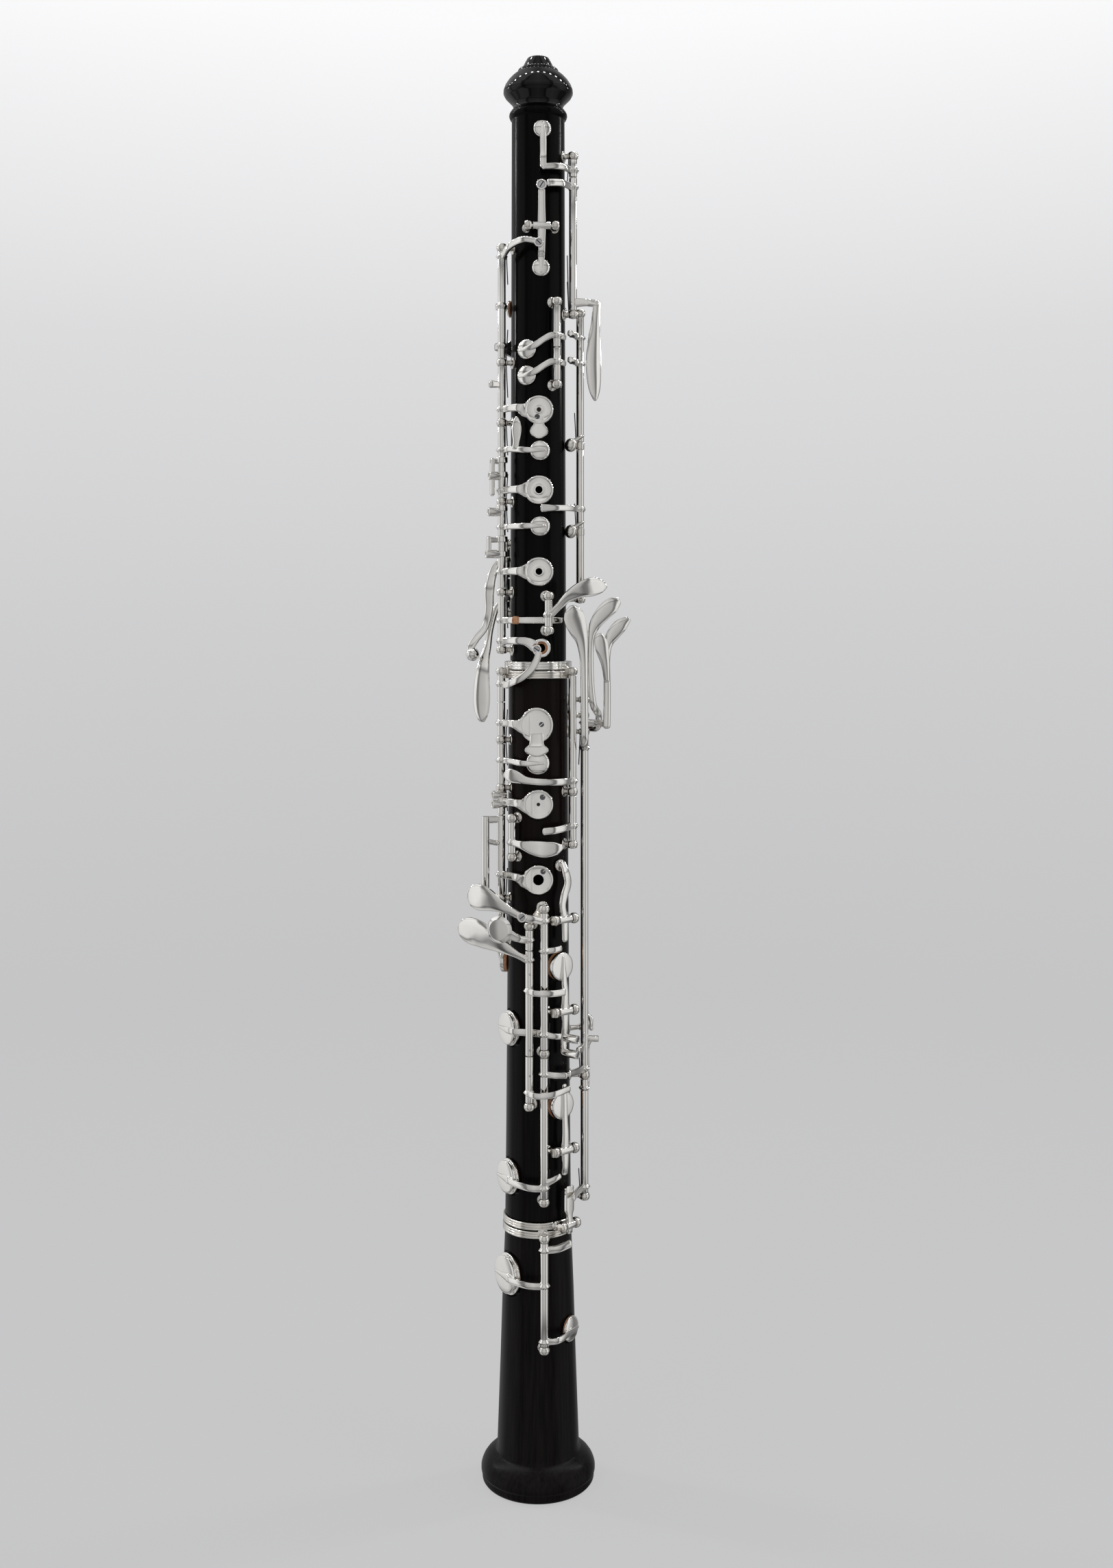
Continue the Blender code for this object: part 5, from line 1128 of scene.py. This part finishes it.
def fork_rod_keys():
    key = Key("forked_f_key", FORK_L, 288.1 + FACE, 338.0 - FACE).collar(292.6)
    key.bar(
        (13.6, -9.2, 292.6, 1.3, 1.0), (9.4, -15.2, 292.8, 1.2, 0.9), (2.0, -18.2, 293.0, 1.1, 0.8),
        (-4.4, -18.0, 293.6, 1.4, 0.8), (-9.0, -16.6, 295.0, 2.6, 0.8), (-12.0, -15.2, 295.6, 2.7, 0.8),
        (-13.6, -14.2, 295.6, 0.9, 0.5),
    )

    key = Key("e_vent_arm", FORK_L, 266.2 + FACE, 288.1 - FACE).collar(274.0)
    key.bar(
        (13.6, -9.2, 274.0, 1.3, 0.9), (11.0, -14.2, 273.7, 1.3, 0.8), (7.0, -17.4, 273.2, 1.4, 0.8),
        (2.6, -18.6, 272.8, 1.5, 0.8),
    )


def front_tube_keys():
    key = Key("low_c_key", RIGHT_L, 181.7 + FACE, 241.0 - FACE).collar(236.0, 223.8, 189.6, half=1.1)
    key.bar(
        (1.6, -18.0, 236.0, 1.2, 1.0), (-2.4, -20.6, 237.6, 1.2, 0.9), (-6.2, -21.2, 238.4, 1.4, 0.9),
        (-11.4, -20.8, 241.0, 1.8, 0.9), (-16.4, -19.4, 243.2, 3.2, 0.9), (-20.6, -17.6, 244.8, 4.9, 1.0),
        (-24.4, -15.6, 245.6, 5.5, 1.0), (-27.4, -13.8, 245.8, 4.2, 0.9), (-28.8, -12.9, 245.8, 2.0, 0.5),
    )
    key.ring_screw(2.0, (-5.9, -20.8, 238.4), (-0.28, -0.96, 0), 1.95, 0.7)
    key.bar((3.8, -17.4, 223.8, 1.1, 0.9), (7.0, -17.0, 224.2, 1.0, 0.8), (9.4, -15.0, 224.4, 1.0, 0.7))
    key.bar(
        (1.6, -16.6, 189.6, 1.2, 0.6), (-1.6, -14.9, 189.6, 1.2, 0.5), (-5.4, -14.0, 189.6, 1.2, 0.5),
        (*key.on(6.6, 0, -0.6), 1.2, 0.7), (*key.on(3.0, 0, 0.2), 1.1, 0.8), (*key.on(-5.4, 0, 0.0), 0.5, 0.5),
    )
    key.bar((3.6, -17.6, 189.6, 1.1, 0.9), (6.4, -17.6, 189.0, 1.0, 0.8), (9.2, -16.4, 188.6, 1.0, 0.7))
    key.cup()

    key = Key("low_b_key", RIGHT_L, 120.8 + FACE, 181.7 - FACE).collar(173.4, 126.8, half=1.1)
    key.bar((3.6, -17.8, 173.4, 1.1, 0.9), (7.4, -18.4, 173.2, 1.1, 0.9), (11.6, -17.4, 172.8, 1.0, 0.8))
    key.bar(
        (1.6, -18.0, 126.8, 1.3, 1.0), (-3.4, -18.4, 127.2, 1.2, 0.8), (*key.on(6.0, -0.4, 0.2), 1.1, 0.8),
        (*key.on(2.0, 0, 0.2), 1.1, 0.8), (*key.on(-5.4, 0, 0.0), 0.5, 0.5),
    )
    key.bar((3.6, -17.8, 128.8, 1.1, 0.9), (6.6, -17.6, 130.4, 1.0, 0.8), (9.0, -16.4, 131.4, 0.9, 0.7))
    key.cup()

    key = Key("c_sharp_touch", LEFT_L, 224.2, 234.0 - FACE).collar(228.4, half=1.1)
    key.bar((-4.2, -18.2, 228.4, 1.2, 0.9), (-7.6, -21.4, 229.6, 1.3, 0.9), (-12.6, -22.3, 232.0, 2.4, 0.7))
    disc = [(0, 1.0), (4.2, 0.8), (5.6, 0.0), (5.0, -0.7), (0, -0.8)]
    key.add(turned(disc, 64, (-15.6, -21.3, 233.2), (-0.35, -0.94, 0)))

    key = Key("e_flat_key", LEFT_L, 181.0, 223.8).collar(220.2, 207.5, half=1.1)
    key.grub(214.5).grub(183.5)
    key.bar(
        (-4.2, -18.0, 220.2, 1.2, 0.9), (-8.6, -18.0, 222.6, 1.5, 0.9), (-14.2, -16.6, 225.4, 2.9, 0.9),
        (-20.4, -14.0, 228.4, 5.2, 1.0), (-25.6, -11.2, 230.2, 5.9, 1.0), (-29.6, -9.0, 230.9, 5.3, 1.0),
        (-32.2, -7.5, 231.2, 3.2, 0.9), (-33.2, -7.0, 231.3, 1.4, 0.5),
    )
    key.bar(
        (-3.8, -18.6, 207.6, 1.2, 0.9), (-1.6, -21.0, 207.4, 1.1, 0.8), (2.6, -21.6, 207.2, 1.1, 0.8),
        (7.0, -20.0, 207.0, 1.1, 0.8), (10.8, -16.8, 206.8, 1.3, 0.8),
    )
    key.add(cylinder(1.2, (10.4, -16.3, 206.8), (-0.55, 0.83, 0), 0.8), "corks")

    key = Key("c_sharp_release_arm", LEFT_L, 160.0 + FACE, 180.6).collar(165.8, half=1.1).grub(173.0)
    key.bar(
        (-3.8, -18.6, 165.8, 1.2, 0.9), (-1.6, -21.0, 165.6, 1.1, 0.8), (2.6, -21.8, 165.6, 1.1, 0.8),
        (7.6, -20.4, 166.2, 1.1, 0.8), (12.8, -15.6, 167.0, 1.0, 0.8),
    )


def rocking_levers():
    angle = 40

    def at(radius, z, shift=0.0):
        return (*polar(angle + shift, radius), z)

    key = Key("f_resonance_key").boss(angle, 17.0, 236.0, 3.3)
    key.bar(
        (*at(17.2, 227.4), 1.1, 0.9), (*at(17.2, 232.0), 1.3, 0.9), (*at(17.0, 236.0), 1.6, 1.0),
        (*at(17.2, 241.6, -4), 1.5, 0.9), (*at(17.2, 246.0, -1), 1.8, 0.9), (*at(17.0, 250.4, 6), 1.9, 0.9),
        (*at(16.8, 254.4, 4), 1.8, 0.9), (*key.on(0, 1.2, 0.3), 1.5, 0.8),
    )
    key.cup()

    key = Key("e_flat_cup_key").boss(angle, 17.2, 198.2, 3.3)
    key.bar(
        (*at(16.4, 180.8), 1.1, 0.9), (*at(16.6, 187.0), 1.2, 0.9), (*at(17.2, 192.0), 1.4, 0.9),
        (*at(17.2, 198.2), 1.8, 1.0), (*at(17.4, 206.0), 1.3, 0.9), (*key.on(0, -5.6, 0.5), 1.1, 0.8),
        (*key.on(0, 4, 0.0), 0.5, 0.5),
    )
    for z in (187.2, 181.0):
        key.ring_screw(1.7, at(16.6, z, 1), (*polar(angle + 14, 1), 0), 7.0, 0.8)
    key.cup()

    key = Key("c_sharp_cup_key").boss(angle, 17.4, 141.0, 3.3)
    key.bar(
        (*at(17.0, 131.4), 1.2, 0.9), (*at(17.4, 135.0), 1.4, 0.9), (*at(17.4, 141.0), 1.8, 1.0),
        (*at(17.6, 148.0), 1.3, 0.9), (*key.on(0, -5.6, 0.5), 1.1, 0.8), (*key.on(0, 4, 0.3), 0.9, 0.7),
        (*key.on(0, 8.6, 0.0), 0.9, 0.6),
    )
    key.cup()

    key = Key("bell_bridge_lever").boss(48, 17.4, 109.6, 2.4)
    key.bar(*[(*at(17.5, z, 8), wide, thick) for z, wide, thick in (
        (106.6, 1.5, 0.8), (109.6, 1.6, 1.0), (113.6, 1.6, 0.8), (115.4, 2.5, 0.8), (120.0, 2.6, 0.8),
        (125.2, 2.5, 0.7),
    )])


def bell_keys():
    key = Key("bell_key", BELL_ROD, 60.8 + FACE, 106.4 - FACE).collar(101.8, 87.2, 64.4, half=1.1)
    key.bar((3.8, -18.6, 101.8, 1.4, 0.9), (8.4, -19.2, 102.6, 1.5, 0.8), (13.4, -17.2, 104.0, 1.6, 0.7))
    key.bar(
        (1.6, -18.8, 87.2, 1.3, 1.0), (-3.6, -19.2, 87.6, 1.2, 0.9), (*key.on(6.6, -0.3, 0.4), 1.1, 0.8),
        (*key.on(2.0, 0, 0.2), 1.1, 0.8), (*key.on(-6.4, 0, 0.0), 0.5, 0.5),
    )
    key.over("bell_vent").bar(
        (3.8, -18.6, 64.4, 1.2, 0.9), (8.6, -18.8, 65.2, 1.1, 0.9), (*key.on(-2.6, 0, 0.3), 1.0, 0.8),
        (*key.on(3.2, 0, 0.0), 0.5, 0.5),
    )
    key.over("bell_key").cup().over("bell_vent").cup()


# ---- the studio ----
# Painted light on the backdrop: the grey it glows with at a height, from 0 to 255, lighter up the wall.
PAINTED_GLOW_GREYS = ((0.0, 194), (0.06, 196), (0.36, 205), (0.75, 220), (1.035, 240), (1.2, 252))
GREY_TOP = 1.3
# The room's brightness round the instrument, from behind it through its left, its front and its right.
ROOM_ROUND = [
    (0.0, 0.28), (0.06, 0.48), (0.11, 0.88), (0.19, 1.05), (0.212, 0.42), (0.236, 1.05), (0.325, 1.15),
    (0.346, 0.26), (0.364, 0.26), (0.382, 0.58), (0.44, 0.66), (0.50, 0.78), (0.56, 0.64), (0.60, 0.54),
    (0.622, 0.22), (0.638, 0.26), (0.656, 1.06), (0.73, 1.04), (0.775, 0.66), (0.81, 0.24), (0.85, 0.30),
    (0.92, 0.58), (1.0, 0.28),
]
# And from the floor to the ceiling.
ROOM_UP = [(0.0, 0.50), (0.14, 0.70), (0.215, 0.58), (0.25, 0.26), (0.285, 0.80), (0.36, 0.90), (0.43, 0.94),
           (0.50, 0.95), (0.57, 1.0), (0.645, 0.96), (0.675, 0.42), (0.71, 1.22), (0.86, 1.0), (1.0, 0.9)]
ROOM_STRENGTH = 0.80
LAMPS = 17  # small lamps on an arch over the instrument


def painted_glow_sheet_material():
    """The backdrop's painted light: a glowing pale grey, lighter up the wall, with a little real shading from
    the light.
    """
    made = bpy.data.materials.new("backdrop_painted_glow")
    tree = Tree(made)
    tree.nodes.remove(tree.nodes["Principled BSDF"])
    height = tree.add("MapRange", "Result", {"From Max": GREY_TOP, "Value": tree.part("Z")})
    stops = []
    for z, grey in PAINTED_GLOW_GREYS:
        level = ((grey / 255 + 0.055) / 1.055) ** 2.4
        stops.append((z / GREY_TOP, (level, level, level * 1.012)))
    tone = tree.ramp(height, stops)
    # The emission is painted light, brighter up the wall.
    glow = tree.add("Emission", "Emission", {"Strength": 0.9, "Color": tone})
    faint = tree.add("VectorMath", "Vector", {"Scale": 0.16, 0: tone}, operation="SCALE")
    paper = tree.add("BsdfDiffuse", "BSDF", {"Color": faint})
    tree.fill(tree.nodes["Material Output"], {"Surface": tree.add("AddShader", "Shader", {0: glow, 1: paper})})
    return made


def backdrop():
    """A round pale sweep of floor and wall that glows with painted light, seen by the camera only."""
    floor, bend, segments = 0.9, 0.7, 96
    curve = [math.pi / 2 * k / 16 for k in range(1, 17)]
    profile = [(0.0, 0.0), (0.3, 0.0), (0.6, 0.0), (floor, 0.0)]
    profile += [(floor + bend * math.sin(t), bend - bend * math.cos(t)) for t in curve]
    profile += [(1.6, 1.2), (1.6, 2.0), (1.6, 3.5)]
    mesh = bpy.data.meshes.new("sweep")
    bm = bmesh.new()
    skin(bm, [circle(bm, r, z, segments, Matrix()) for r, z in profile])
    bm.to_mesh(mesh)
    bm.free()
    mesh.shade_smooth()
    mesh.materials.append(painted_glow_sheet_material())
    sheet = placed("studio_sweep", mesh)
    sheet.location.z = -0.0005
    sheet.visible_glossy = sheet.visible_diffuse = sheet.visible_shadow = False


def room():
    """The bright room that lights the oboe and shows in its silver."""
    world = bpy.data.worlds.new("studio")
    bpy.context.scene.world = world
    tree = Tree(world)
    left, front, high = [tree.part(axis, "Generated") for axis in "XYZ"]
    turn = tree.maths("DIVIDE", tree.maths("ARCTAN2", left, tree.maths("MULTIPLY", front, -1.0)), math.pi)
    around = tree.ramp(tree.maths("MULTIPLY_ADD", turn, 0.5, 0.5), ROOM_ROUND)
    upward = tree.ramp(tree.maths("MULTIPLY_ADD", high, 0.5, 0.5), ROOM_UP)
    tone = tree.add("Mix", "Result", {"Factor": 1.0, "A": around, "B": upward}, data_type="RGBA",
                    blend_type="MULTIPLY")
    tree.fill(tree.nodes["Background"], {"Color": tone, "Strength": ROOM_STRENGTH})


def lamp(name, at, aim, power, size, height=None):
    """A round lamp, or a panel where a height is given."""
    data = bpy.data.lights.new(name, "AREA")
    data.shape = "RECTANGLE" if height else "DISK"
    data.size, data.energy = size, power
    if height:
        data.size_y = height
    made = placed(name, data)
    made.location = at
    made.rotation_euler = (Vector(aim) - Vector(at)).to_track_quat("-Z", "Y").to_euler()
    return made


def lights():
    for name, at, power, size in (
        ("key_panel", (-0.9, -1.1, 1.1), 5, 0.8), ("fill_panel", (1.1, -0.8, 0.8), 3, 0.7),
    ):
        lamp(name, at, (0, 0, 0.33), power, size, size * 1.4).visible_glossy = False
    for k in range(LAMPS):
        lean = math.radians(85) * (2 * k / (LAMPS - 1) - 1)
        at = (math.sin(lean), 0.05 + 0.38 * math.sin(lean) ** 2, 0.58 + math.cos(lean))
        lamp(f"lamp_{k}", at, (0, 0, 0.5), 0.55, 0.06)


def camera():
    data = bpy.data.cameras.new("camera")
    data.sensor_fit = "VERTICAL"
    data.sensor_height = 24
    data.sensor_width = 28  # narrow, so that a view from another side stands far enough back
    data.lens = 25.18583
    data.shift_y = -0.1020988  # the lens is level with the middle of the instrument, above the picture's middle
    made = placed("camera", data)
    made.location = (0.0077, -0.691, 0.3577)
    made.rotation_euler = (math.radians(90), 0, 0)
    bpy.context.scene.camera = made


for build in (
    woodwork, upper_rods, lower_rods, octave_keys, octave_rocker, left_upper_keys, upper_stack_keys, trill_keys,
    side_keys, rear_trill_levers, left_pinky_levers, lower_stack_keys, fork_rod_keys, front_tube_keys,
    rocking_levers, bell_keys,
):
    build()
for made_key in Key.made:
    made_key.done()
bell_rod()
backdrop()
room()
lights()
camera()
bpy.context.scene.view_settings.view_transform = "Standard"
